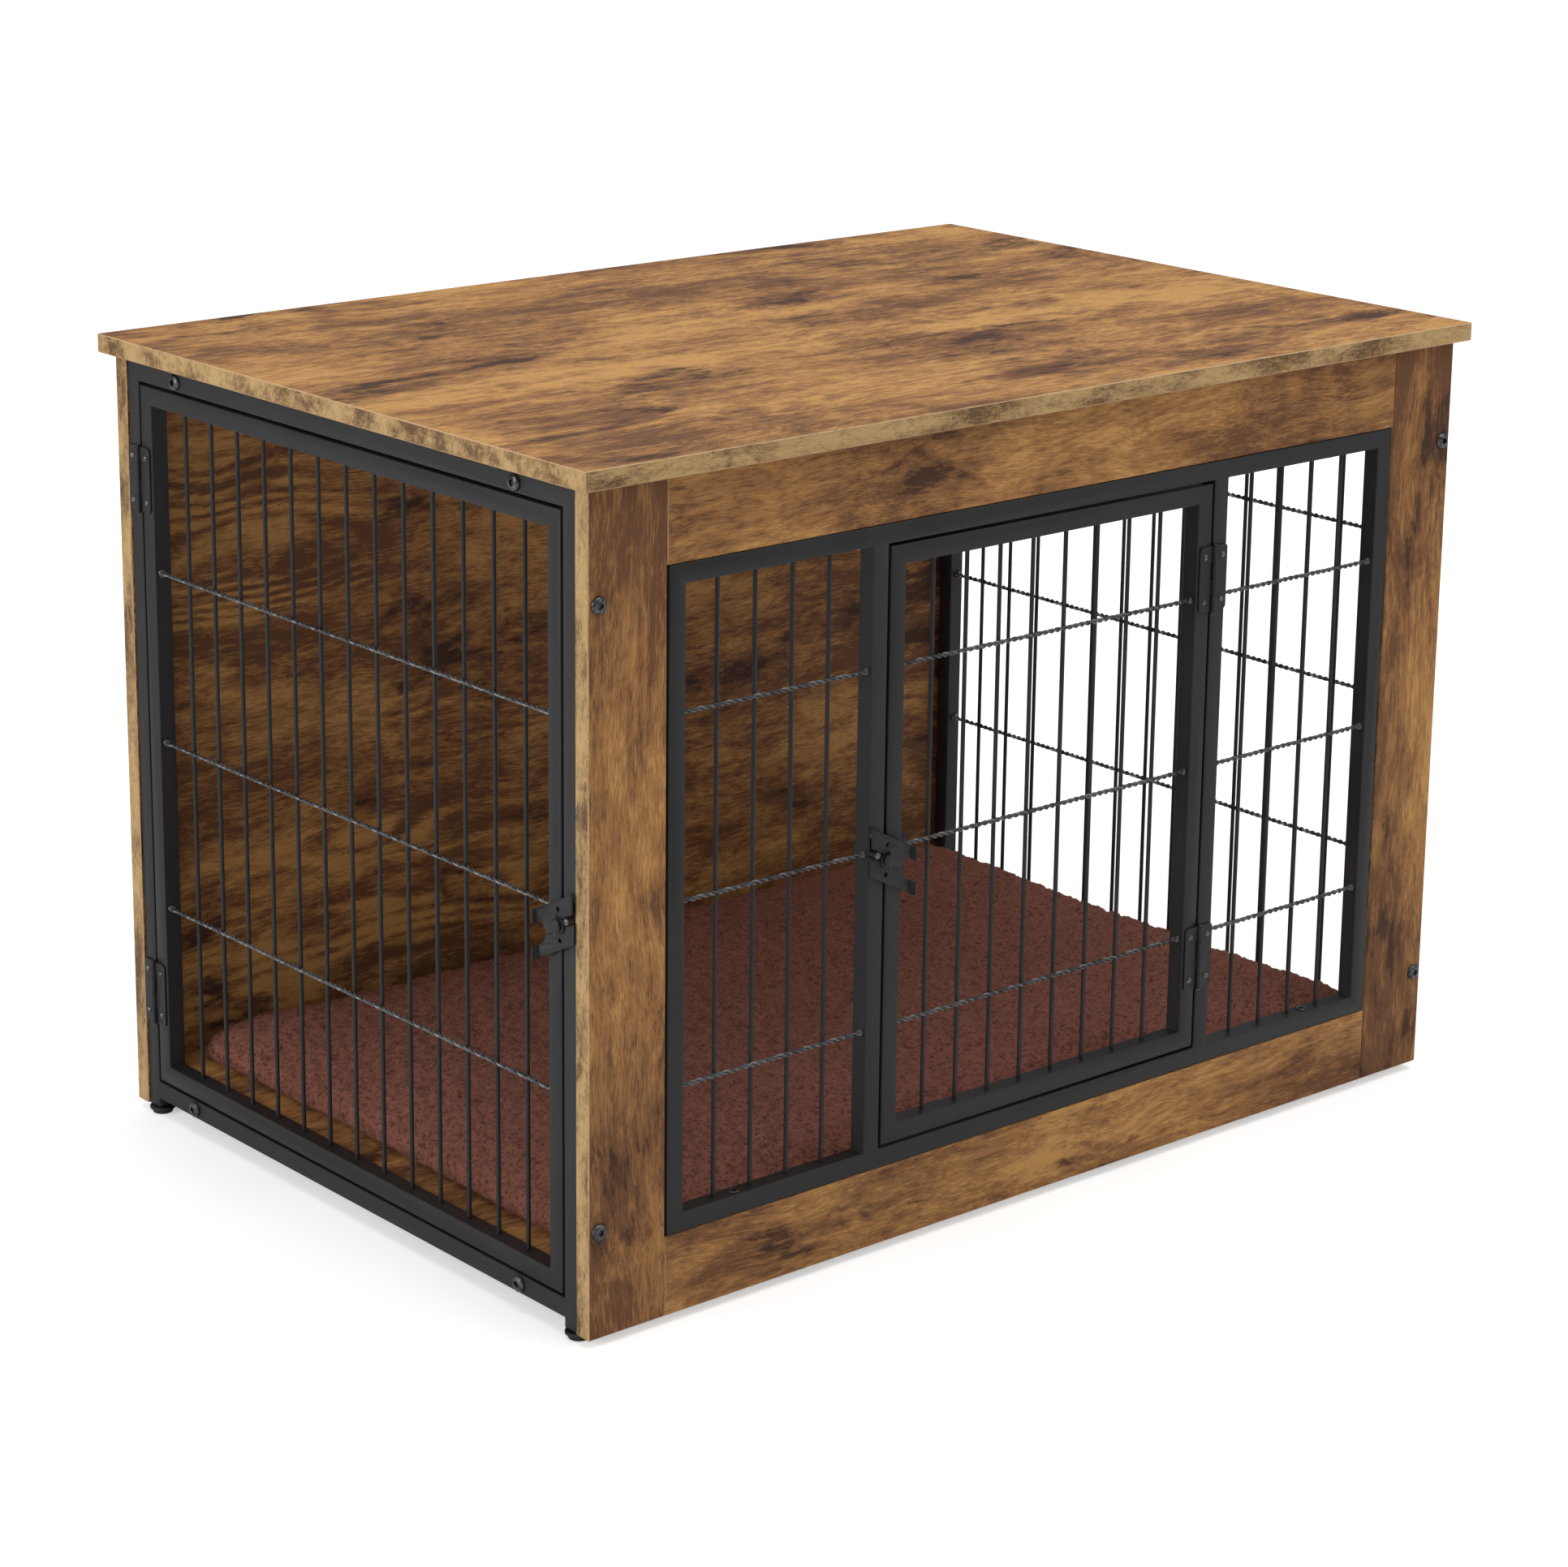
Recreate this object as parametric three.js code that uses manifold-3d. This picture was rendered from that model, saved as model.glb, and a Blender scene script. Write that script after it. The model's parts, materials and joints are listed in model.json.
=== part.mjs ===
// Dog crate end table: a wood-faced cabinet on a welded steel frame, with a barred door in the
// front and one in the left side. Millimetres, +Z up, front towards -Y, standing on z = 0.

import * as THREE from 'three';
import { mergeVertices } from 'three/addons/utils/BufferGeometryUtils.js';
import Module from 'manifold-3d';

const wasm = await Module();
wasm.setup();

// ---- Driving dimensions ----

// Cabinet
const BODY_LENGTH = 900;
const BODY_DEPTH = 612;
const PANEL_HEIGHT = 631;
const PANEL_THICKNESS = 15;
const TOP_THICKNESS = 15;
const TOP_OVERHANG = 10;
const PANEL_CLEARANCE = 7; // panel bottoms above the ground
const STILE_WIDTH = 70;
const TOP_RAIL_HEIGHT = 64;
const BOTTOM_RAIL_HEIGHT = 62;
const SEAT_GAP = 0.3; // between pieces that rest on or butt against each other
const FLOOR_THICKNESS = 12;
const FLOOR_TOP = 36; // above the panel bottoms
const FLOOR_END_GAP = 2.5;
const FLOOR_SIDE_GAP = 2;

// Square steel tube and the frames made of it
const TUBE = 15;
const FRONT_FRAME_SIDE_GAP = 2;
const FRONT_FRAME_END_GAP = 0.5;
const FRONT_DOOR_OPENING = 344;
const SIDE_FRAME_FIT = 0.5; // side frame to the front and back panels
const SIDE_FRAME_INSET = 1.5; // side frame behind the panel edges
const SIDE_RAIL_LIFT = 8; // bottom rail above the post ends
const SIDE_FRAME_DROP = 3; // side frame top below the panel tops
const DOOR_GAP = 2.5;

// Round bars
const BAR_DIAMETER = 3.5;
const BAR_WELD_SINK = 0.4;
const BAR_SPACING = 36;
const CROSS_BAR_SPACING = 141;
const CROSS_BARS = 3;
const BAR_SIDES = 6;

// Butt hinges
const HINGE_HEIGHT = 53;
const HINGE_END_DISTANCE = 50; // door end to the nearest hinge end
const HINGE_PIN_OFFSET = 1; // from the middle of the door gap, over the post
const LEAF_WIDTH = 15.2; // from the pin's axis
const LEAF_THICKNESS = 1.2;
const LEAF_CORNER_RADIUS = 4;
const LEAF_CLEARANCE = 0.5; // between a leaf and the other leaf's knuckles
const KNUCKLES = 4;
const KNUCKLE_GAP = 0.3;
const BARREL_RADIUS = 2.2;
const HINGE_PIN_RADIUS = 1.1;
const HINGE_PIN_HEAD_RADIUS = 1.9;
const HINGE_PIN_HEAD_HEIGHT = 0.8;
const HINGE_PIN_CLEARANCE = 0.25;

// Pinch latch: two sprung levers on the door, closed round a pin on the post
const LATCH_HEIGHT = 310.5; // pivot above the panel bottoms
const LATCH_PIVOT_OFFSET = 3.5; // from the door's edge, over the post
const LATCH_SLOPE_DEGREES = 27; // finger ends below the jaws
const LATCH_BASE_HEIGHT = 16;
const LATCH_BASE_THICKNESS = 1.4;
const LATCH_BASE_POST_REACH = 5.5; // from the pivot
const LATCH_BASE_DOOR_REACH = 13;
const LEVER_THICKNESS = 1.4;
const LEVER_HEIGHT = 19; // outer edge above the latch's centre line
const LEVER_JAW_REACH = 16;
const LEVER_FINGER_START = 19;
const LEVER_FINGER_REACH = 26;
const LEVER_WEB_REACH = 13;
const LEVER_WEB_DROP = 4; // web's edge past the centre line
const LEVER_HUB_RADIUS = 6.8;
const LEVER_NOTCH_HALF = 8.5; // finger notch above the centre line
const LEVER_LIP_REACH = 9.9; // lip front above the frame's face
const LEVER_LIP_THICKNESS = 1.4;
const LEVER_LAYER_GAP = 0.3;
const LEVER_FACE_CLEARANCE = 2.9; // rear lever above the frame's face
const KEEPER_PIN_RADIUS = 2.7;
const KEEPER_PIN_REACH = 11.5; // from the pivot, away from the door
const KEEPER_PIN_HEIGHT = 7;
const KEEPER_JAW_CLEARANCE = 0.8;
const KEEPER_STRAP_WIDTH = 5.4;
const KEEPER_STRAP_HEIGHT = 38;
const KEEPER_STRAP_THICKNESS = 1;
const KEEPER_RIVET_SPACING = 29;
const KEEPER_RIVET_RADIUS = 2.4;
const KEEPER_RIVET_HEIGHT = 1;
const PIVOT_RADIUS = 2.6;
const PIVOT_CLEARANCE = 0.35;
const PIVOT_FLANGE_RADIUS = 5;
const PIVOT_FLANGE_HEIGHT = 2.6;
const PIVOT_HEAD_RADIUS = 5.2;
const PIVOT_HEAD_TOP_RADIUS = 3.6;
const PIVOT_HEAD_HEIGHT = 1;
const SPRING_WIRE = 0.9;
const SPRING_COIL_RADIUS = 3.8;
const SPRING_RISE = 1.4;
const SPRING_HOLE = 3.2; // square
const SPRING_HOLE_OUT = 12; // from the pivot

// Door stops: tabs welded behind the latch posts
const STOP_REACH = 38; // past the post
const STOP_HEIGHT = 12;
const STOP_THICKNESS = 2.5;
const STOP_LIFT = 4; // above the latch pivot

// Bolts
const BOLT_RADIUS = 3;
const BOLT_CLEARANCE = 0.5;
const BOLT_HEAD_RADIUS = 6.5;
const BOLT_HEAD_HEIGHT = 3.3;
const BOLT_HEAD_EDGE = 1.3; // where its dome starts
const BOLT_HEAD_TOP_RADIUS = 4;
const BOLT_SOCKET_RADIUS = 2.3;
const BOLT_SOCKET_DEPTH = 2;
const BOLT_ENGAGEMENT = 11; // in a post, from its face
const BOLT_TIP = 2; // past an angle
const FRONT_BOLT_DISTANCE = 83; // from the panel ends
const SIDE_BOLT_DISTANCE = 70; // from the side frame ends

// Steel angles that join the top and the floor to the side frames
const ANGLE_LEG = 20;
const ANGLE_THICKNESS = 2;
const ANGLE_END_DISTANCE = 40.5; // from the side frame ends

// Levelling feet
const FOOT_RIM_RADIUS = 10.6;
const FOOT_SOLE_RADIUS = 8;
const FOOT_RIM_HEIGHT = 3.6;
const FOOT_BEVEL_RADIUS = 9.2;
const FOOT_BEVEL_HEIGHT = 3.2;
const FOOT_PAD_HEIGHT = 6;
const FOOT_STEM_RADIUS = 4;
const FOOT_STEM_CLEARANCE = 0.4;
const FOOT_STEM_LENGTH = 18;

// Bed cushion
const BED_END_GAP = 10; // to the ends of the floor board
const BED_SIDE_GAP = 8; // to the front and back of the floor board
const BED_EDGE_HEIGHT = 22;
const BED_CROWN = 12;
const BED_CROWN_FLATNESS = 1.5; // over 1, the crown rises sooner near the edge
const BED_CORNER_RADIUS = 32;
const BED_SIDE_DRAW = 5; // how far the middle of each side is drawn in
const BED_EDGE_BULGE = 7;
const BED_CORNER_STEPS = 5;
const BED_SIDE_STEPS = 8;
const BED_EDGE_STEPS = 4;
const BED_CROWN_STEPS = 4;

// Faceting and cutting
const ROUND_SIDES = 12;
const SMALL_ROUND_SIDES = 10;
const CORNER_SEGMENTS = 3;
const HOLE_SEGMENTS = 5; // half the sides of a round hole
const SPRING_COIL_STEPS = 12;
const SPRING_STEPS = 34;
const SPRING_SECTION_SEGMENTS = 3; // half the sides of the wire
const CUT_OVERSHOOT = 1; // how far a cutting tool runs past the piece
const MERGE_DISTANCE = 1e-4; // vertices closer than this are one

// ---- Places worked out from the dimensions ----

const GROUND = 0;
const PANEL_BOTTOM = GROUND + PANEL_CLEARANCE;
const PANEL_TOP = PANEL_BOTTOM + PANEL_HEIGHT;
const HALF_LENGTH = BODY_LENGTH / 2;
const HALF_DEPTH = BODY_DEPTH / 2;

const FRONT_FRAME_HALF = HALF_LENGTH - STILE_WIDTH - FRONT_FRAME_SIDE_GAP;
const FRONT_FRAME_BOTTOM = BOTTOM_RAIL_HEIGHT + FRONT_FRAME_END_GAP;
const FRONT_FRAME_TOP = PANEL_HEIGHT - TOP_RAIL_HEIGHT - FRONT_FRAME_END_GAP;
const SIDE_FRAME_HALF = HALF_DEPTH - PANEL_THICKNESS - SIDE_FRAME_FIT;
const SIDE_FRAME_TOP = PANEL_HEIGHT - SIDE_FRAME_DROP;
const SIDE_FRAME_X = HALF_LENGTH - SIDE_FRAME_INSET; // outer face of a side frame

const FRONT_DOOR = {
  halfWidth: FRONT_DOOR_OPENING / 2 - DOOR_GAP,
  bottom: FRONT_FRAME_BOTTOM + TUBE + DOOR_GAP,
  top: FRONT_FRAME_TOP - TUBE - DOOR_GAP,
};
const SIDE_DOOR = {
  halfWidth: SIDE_FRAME_HALF - TUBE - DOOR_GAP,
  bottom: SIDE_RAIL_LIFT + TUBE + DOOR_GAP,
  top: SIDE_FRAME_TOP - TUBE - DOOR_GAP,
};

const BARREL_Y = -(SEAT_GAP + BARREL_RADIUS);
const LEAF_FRONT_Y = -(SEAT_GAP + LEAF_THICKNESS);
const REAR_LEVER_Y = -(LEVER_FACE_CLEARANCE + LEVER_THICKNESS);
const FRONT_LEVER_Y = REAR_LEVER_Y - LEVER_LAYER_GAP - LEVER_THICKNESS;
const LATCH_SLOPE = THREE.MathUtils.degToRad(LATCH_SLOPE_DEGREES);
const FOOT_INSET = SIDE_FRAME_INSET + TUBE / 2;
const FOOT_Y = SIDE_FRAME_HALF - TUBE / 2;
const FLOOR_BOTTOM = FLOOR_TOP - FLOOR_THICKNESS;
const FLOOR_HALF_LENGTH = SIDE_FRAME_X - TUBE - FLOOR_END_GAP;
const FLOOR_HALF_DEPTH = HALF_DEPTH - PANEL_THICKNESS - FLOOR_SIDE_GAP;
const BED_HALF_LENGTH = FLOOR_HALF_LENGTH - BED_END_GAP;
const BED_HALF_WIDTH = FLOOR_HALF_DEPTH - BED_SIDE_GAP;
const SIDE_BOLT_X = SIDE_FRAME_HALF - SIDE_BOLT_DISTANCE;
const SIDE_BOLT_LEVELS = {
  lower: SIDE_RAIL_LIFT + TUBE / 2,
  upper: SIDE_FRAME_TOP - TUBE / 2,
};
const FRONT_BOLT_LEVELS = {
  lower: FRONT_BOLT_DISTANCE,
  upper: PANEL_HEIGHT - FRONT_BOLT_DISTANCE,
};

// ---- Materials ----

function paint(color, roughness, metalness) {
  return new THREE.MeshStandardMaterial({ color, roughness, metalness });
}

const wood = () => paint(0xa0744a, 0.55, 0);
const blackSteel = () => paint(0x2e2e30, 0.45, 0.6);
const blackZinc = () => paint(0x4c4c4f, 0.35, 0.9);
const blackPlastic = () => paint(0x1b1b1c, 0.6, 0);
const fleece = () => paint(0x6e4036, 0.95, 0);

// ---- Solid helpers ----

function toSolid(geometry) {
  const bare = geometry.clone();
  bare.deleteAttribute('normal');
  bare.deleteAttribute('uv');
  const merged = mergeVertices(bare, MERGE_DISTANCE);
  const corners = merged.index.array;
  const kept = [];
  for (let i = 0; i < corners.length; i += 3) {
    const [a, b, c] = corners.slice(i, i + 3);
    const flattened = a === b || b === c || c === a;
    if (!flattened) kept.push(a, b, c);
  }
  const mesh = new wasm.Mesh({
    numProp: 3,
    vertProperties: new Float32Array(merged.attributes.position.array),
    triVerts: new Uint32Array(kept),
  });
  return new wasm.Manifold(mesh);
}

function toGeometry(solid) {
  const mesh = solid.getMesh();
  const geometry = new THREE.BufferGeometry();
  geometry.setAttribute('position', new THREE.BufferAttribute(mesh.vertProperties, 3));
  geometry.setIndex(new THREE.BufferAttribute(mesh.triVerts, 1));
  geometry.computeVertexNormals();
  return geometry;
}

function join(geometries) {
  const solids = geometries.map(toSolid);
  return toGeometry(solids.reduce((whole, next) => whole.add(next)));
}

function cut(geometry, tools) {
  const start = toSolid(geometry);
  return toGeometry(tools.map(toSolid).reduce((whole, tool) => whole.subtract(tool), start));
}

// A box between two corners.
function block(low, high) {
  const size = high.map((value, axis) => value - low[axis]);
  const middle = high.map((value, axis) => (value + low[axis]) / 2);
  return new THREE.BoxGeometry(...size).translate(...middle);
}

// A straight round rod between two points, with one flat of its section towards -Y.
function rod(from, to, radius, sides) {
  const start = new THREE.Vector3(...from);
  const along = new THREE.Vector3(...to).sub(start);
  const length = along.length();
  const geometry = new THREE.CylinderGeometry(radius, radius, length, sides);
  geometry.rotateY(Math.PI / sides);
  geometry.translate(0, length / 2, 0);
  const runsInDepth = along.x === 0 && along.z === 0;
  const up = runsInDepth ? new THREE.Vector3(0, 0, 1) : new THREE.Vector3(0, 1, 0);
  const turn = new THREE.Matrix4().lookAt(along, new THREE.Vector3(), up);
  geometry.rotateX(Math.PI / 2);
  geometry.applyMatrix4(turn);
  return geometry.translate(...from);
}

// A shape drawn in x and z, standing upright with its front face at frontY.
function plate(shape, thickness, frontY = 0, curveSegments = HOLE_SEGMENTS) {
  const upright = (outline, depth, front) => {
    const flat = new THREE.Shape(outline.getPoints(curveSegments));
    const solid = new THREE.ExtrudeGeometry(flat, { depth, bevelEnabled: false });
    return solid.rotateX(Math.PI / 2).translate(0, front + depth, 0);
  };
  const through = (hole) => upright(hole, thickness + 2 * CUT_OVERSHOOT, frontY - CUT_OVERSHOOT);
  return cut(upright(shape, thickness, frontY), shape.holes.map(through));
}

function rectangle(left, bottom, right, top, Outline = THREE.Shape) {
  const outline = new Outline();
  outline.moveTo(left, bottom);
  outline.lineTo(right, bottom);
  outline.lineTo(right, top);
  outline.lineTo(left, top);
  outline.closePath();
  return outline;
}

function roundHole(x, z, radius) {
  const hole = new THREE.Path();
  hole.absarc(x, z, radius, 0, 2 * Math.PI);
  return hole;
}

// A body of revolution about z from [radius, z] pairs that start and end on the axis.
function turned(profile, sides) {
  const points = profile.map(([radius, z]) => new THREE.Vector2(radius, z));
  return new THREE.LatheGeometry(points, sides).rotateX(Math.PI / 2);
}

// ---- Assembly tree ----

const crate = new THREE.Group();
const frontWall = new THREE.Group();
frontWall.position.set(0, -HALF_DEPTH, PANEL_BOTTOM);
const leftWall = new THREE.Group();
leftWall.position.set(-SIDE_FRAME_X, 0, PANEL_BOTTOM);
leftWall.rotation.z = -Math.PI / 2;
const rightWall = new THREE.Group();
rightWall.position.set(SIDE_FRAME_X, 0, PANEL_BOTTOM);
rightWall.rotation.z = Math.PI / 2;
crate.add(frontWall, leftWall, rightWall);

function addPiece(parent, name, geometry, material) {
  const mesh = new THREE.Mesh(geometry, material);
  mesh.name = name;
  parent.add(mesh);
  return mesh;
}

// ---- Wood panels, floor and top ----

function addTop() {
  const top = block(
    [-HALF_LENGTH - TOP_OVERHANG, -HALF_DEPTH - TOP_OVERHANG, PANEL_TOP + SEAT_GAP],
    [HALF_LENGTH + TOP_OVERHANG, HALF_DEPTH + TOP_OVERHANG, PANEL_TOP + SEAT_GAP + TOP_THICKNESS],
  );
  addPiece(crate, 'tabletop', top, wood());
}

function addFrontPanel() {
  for (const [side, sign] of [['left', -1], ['right', 1]]) {
    const edges = [sign * HALF_LENGTH, sign * (HALF_LENGTH - STILE_WIDTH)].sort((a, b) => a - b);
    const outline = rectangle(edges[0], 0, edges[1], PANEL_HEIGHT);
    for (const level of Object.values(FRONT_BOLT_LEVELS)) {
      outline.holes.push(roundHole(sign * (HALF_LENGTH - FOOT_INSET), level, BOLT_RADIUS + BOLT_CLEARANCE));
    }
    addPiece(frontWall, `front_${side}_stile`, plate(outline, PANEL_THICKNESS), wood());
  }
  const railHalf = HALF_LENGTH - STILE_WIDTH - SEAT_GAP;
  const rails = {
    front_bottom_rail: [0, BOTTOM_RAIL_HEIGHT],
    front_top_rail: [PANEL_HEIGHT - TOP_RAIL_HEIGHT, PANEL_HEIGHT],
  };
  for (const [name, [low, high]] of Object.entries(rails)) {
    addPiece(frontWall, name, plate(rectangle(-railHalf, low, railHalf, high), PANEL_THICKNESS), wood());
  }
}

function addBackPanel() {
  const panel = block(
    [-HALF_LENGTH, HALF_DEPTH - PANEL_THICKNESS, PANEL_BOTTOM],
    [HALF_LENGTH, HALF_DEPTH, PANEL_TOP],
  );
  addPiece(crate, 'back_panel', panel, wood());
}

function addFloor() {
  const board = block(
    [-FLOOR_HALF_LENGTH, -FLOOR_HALF_DEPTH, PANEL_BOTTOM + FLOOR_BOTTOM],
    [FLOOR_HALF_LENGTH, FLOOR_HALF_DEPTH, PANEL_BOTTOM + FLOOR_TOP],
  );
  addPiece(crate, 'floor_board', board, wood());
}

// ---- Steel frames ----

// Tab behind the post that spans postLow to postHigh, reaching past it towards the door.
function stopTab(postLow, postHigh, towards) {
  const bottom = LATCH_HEIGHT + STOP_LIFT - STOP_HEIGHT / 2;
  const top = bottom + STOP_HEIGHT;
  const backY = TUBE + SEAT_GAP + STOP_THICKNESS;
  const tipRadius = STOP_HEIGHT / 2;
  const near = towards > 0 ? postLow : postHigh;
  const tip = (towards > 0 ? postHigh : postLow) + towards * (STOP_REACH - tipRadius);
  const outline = rectangle(Math.min(near, tip), bottom, Math.max(near, tip), top);
  const strap = plate(outline, STOP_THICKNESS, TUBE + SEAT_GAP);
  const end = new THREE.CylinderGeometry(tipRadius, tipRadius, STOP_THICKNESS, ROUND_SIDES);
  end.translate(tip, backY - STOP_THICKNESS / 2, bottom + tipRadius);
  const foot = block([postLow, TUBE - SEAT_GAP, bottom], [postHigh, backY, top]);
  return [strap, end, foot];
}

function addFrontFrame() {
  const half = FRONT_FRAME_HALF;
  const doorHalf = FRONT_DOOR_OPENING / 2;
  const outline = rectangle(-half, FRONT_FRAME_BOTTOM, half, FRONT_FRAME_TOP);
  const low = FRONT_FRAME_BOTTOM + TUBE;
  const high = FRONT_FRAME_TOP - TUBE;
  outline.holes.push(rectangle(-half + TUBE, low, -doorHalf - TUBE, high, THREE.Path));
  outline.holes.push(rectangle(-doorHalf, low, doorHalf, high, THREE.Path));
  outline.holes.push(rectangle(doorHalf + TUBE, low, half - TUBE, high, THREE.Path));
  const tab = stopTab(-doorHalf - TUBE, -doorHalf, 1);
  addPiece(frontWall, 'front_frame', join([plate(outline, TUBE), ...tab]), blackSteel());
}

// frontSide is the sign of the wall's x that points to the front panel.
function addSideFrame(wall, name, frontSide, hasDoor) {
  const half = SIDE_FRAME_HALF;
  const outline = new THREE.Shape();
  outline.moveTo(-half, 0);
  outline.lineTo(-half + TUBE, 0);
  outline.lineTo(-half + TUBE, SIDE_RAIL_LIFT);
  outline.lineTo(half - TUBE, SIDE_RAIL_LIFT);
  outline.lineTo(half - TUBE, 0);
  outline.lineTo(half, 0);
  outline.lineTo(half, SIDE_FRAME_TOP);
  outline.lineTo(-half, SIDE_FRAME_TOP);
  outline.closePath();
  const low = SIDE_RAIL_LIFT + TUBE;
  outline.holes.push(rectangle(-half + TUBE, low, half - TUBE, SIDE_FRAME_TOP - TUBE, THREE.Path));
  for (const level of Object.values(SIDE_BOLT_LEVELS)) {
    for (const x of [-SIDE_BOLT_X, SIDE_BOLT_X]) {
      outline.holes.push(roundHole(x, level, BOLT_RADIUS + BOLT_CLEARANCE));
    }
  }
  let frame = plate(outline, TUBE);
  if (hasDoor) {
    const post = [frontSide * half, frontSide * (half - TUBE)].sort((a, b) => a - b);
    frame = join([frame, ...stopTab(post[0], post[1], -frontSide)]);
  }
  const bores = [];
  for (const sign of [-1, 1]) {
    const x = sign * (half - TUBE / 2);
    const radius = FOOT_STEM_RADIUS + FOOT_STEM_CLEARANCE;
    const top = FOOT_STEM_LENGTH + SEAT_GAP;
    bores.push(rod([x, TUBE / 2, -CUT_OVERSHOOT], [x, TUBE / 2, top], radius, SMALL_ROUND_SIDES));
  }
  for (const level of Object.values(FRONT_BOLT_LEVELS)) {
    const start = frontSide * (half + CUT_OVERSHOOT);
    const end = frontSide * (half - BOLT_ENGAGEMENT - SEAT_GAP);
    const ends = [[start, TUBE / 2, level], [end, TUBE / 2, level]];
    bores.push(rod(...ends, BOLT_RADIUS + BOLT_CLEARANCE, SMALL_ROUND_SIDES));
  }
  addPiece(wall, name, cut(frame, bores), blackSteel());
}

// ---- Barred grilles ----

// Upright bars evenly spaced across the opening, with cross bars welded to their outer side.
function grille(left, right, bottom, top) {
  const low = bottom + SEAT_GAP;
  const high = top - SEAT_GAP;
  const radius = BAR_DIAMETER / 2;
  const flat = radius * Math.cos(Math.PI / BAR_SIDES);
  const depth = 4 * flat - BAR_WELD_SINK;
  const crossY = (TUBE - depth) / 2 + flat;
  const uprightY = crossY + 2 * flat - BAR_WELD_SINK;
  const gaps = Math.round((right - left) / BAR_SPACING);
  const bars = [];
  for (let i = 1; i < gaps; i += 1) {
    const x = left + ((right - left) * i) / gaps;
    bars.push(rod([x, uprightY, low], [x, uprightY, high], radius, BAR_SIDES));
  }
  const middle = (bottom + top) / 2;
  for (let i = 0; i < CROSS_BARS; i += 1) {
    const z = middle + (i - (CROSS_BARS - 1) / 2) * CROSS_BAR_SPACING;
    bars.push(rod([left + SEAT_GAP, crossY, z], [right - SEAT_GAP, crossY, z], radius, BAR_SIDES));
  }
  return join(bars);
}

function addFixedGrilles() {
  const low = FRONT_FRAME_BOTTOM + TUBE;
  const high = FRONT_FRAME_TOP - TUBE;
  const near = FRONT_DOOR_OPENING / 2 + TUBE;
  const far = FRONT_FRAME_HALF - TUBE;
  addPiece(frontWall, 'front_left_grille', grille(-far, -near, low, high), blackSteel());
  addPiece(frontWall, 'front_right_grille', grille(near, far, low, high), blackSteel());
  const half = SIDE_FRAME_HALF - TUBE;
  const sideGrille = grille(-half, half, SIDE_RAIL_LIFT + TUBE, SIDE_FRAME_TOP - TUBE);
  addPiece(rightWall, 'right_side_grille', sideGrille, blackSteel());
}

// ---- Doors ----

function addDoor(wall, name, door) {
  const outline = rectangle(-door.halfWidth, door.bottom, door.halfWidth, door.top);
  const inner = [-door.halfWidth + TUBE, door.bottom + TUBE, door.halfWidth - TUBE, door.top - TUBE];
  outline.holes.push(rectangle(...inner, THREE.Path));
  addPiece(wall, `${name}_frame`, plate(outline, TUBE), blackSteel());
  const [left, bottom, right, top] = inner;
  addPiece(wall, `${name}_grille`, grille(left, right, bottom, top), blackSteel());
}

// ---- Hinges ----

// One leaf, about a pin on x = 0, reaching towards the sign of direction.
function hingeLeaf(direction, knuckles) {
  const half = HINGE_HEIGHT / 2;
  const inner = BARREL_RADIUS + LEAF_CLEARANCE;
  const corner = LEAF_CORNER_RADIUS;
  const far = LEAF_WIDTH - corner;
  const outline = new THREE.Shape();
  outline.moveTo(direction * inner, -half);
  outline.lineTo(direction * far, -half);
  outline.quadraticCurveTo(direction * LEAF_WIDTH, -half, direction * LEAF_WIDTH, -half + corner);
  outline.lineTo(direction * LEAF_WIDTH, half - corner);
  outline.quadraticCurveTo(direction * LEAF_WIDTH, half, direction * far, half);
  outline.lineTo(direction * inner, half);
  outline.closePath();
  const pieces = [plate(outline, LEAF_THICKNESS, LEAF_FRONT_Y, CORNER_SEGMENTS)];
  const pitch = HINGE_HEIGHT / KNUCKLES;
  for (const knuckle of knuckles) {
    const bottom = -half + knuckle * pitch + KNUCKLE_GAP / 2;
    const top = bottom + pitch - KNUCKLE_GAP;
    const ends = [0, direction * (inner + LEAF_CLEARANCE)].sort((a, b) => a - b);
    pieces.push(block([ends[0], LEAF_FRONT_Y, bottom], [ends[1], -SEAT_GAP, top]));
    pieces.push(rod([0, BARREL_Y, bottom], [0, BARREL_Y, top], BARREL_RADIUS, SMALL_ROUND_SIDES));
  }
  const reach = half + CUT_OVERSHOOT;
  const boreRadius = HINGE_PIN_RADIUS + HINGE_PIN_CLEARANCE;
  const bore = rod([0, BARREL_Y, -reach], [0, BARREL_Y, reach], boreRadius, SMALL_ROUND_SIDES);
  return cut(join(pieces), [bore]);
}

function hingePin() {
  const half = HINGE_HEIGHT / 2 + SEAT_GAP;
  const outer = half + HINGE_PIN_HEAD_HEIGHT;
  const profile = [
    [0, -outer],
    [HINGE_PIN_HEAD_RADIUS, -outer],
    [HINGE_PIN_HEAD_RADIUS, -half],
    [HINGE_PIN_RADIUS, -half],
    [HINGE_PIN_RADIUS, half],
    [HINGE_PIN_HEAD_RADIUS, half],
    [HINGE_PIN_HEAD_RADIUS, outer],
    [0, outer],
  ];
  return turned(profile, SMALL_ROUND_SIDES).translate(0, BARREL_Y, 0);
}

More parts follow.
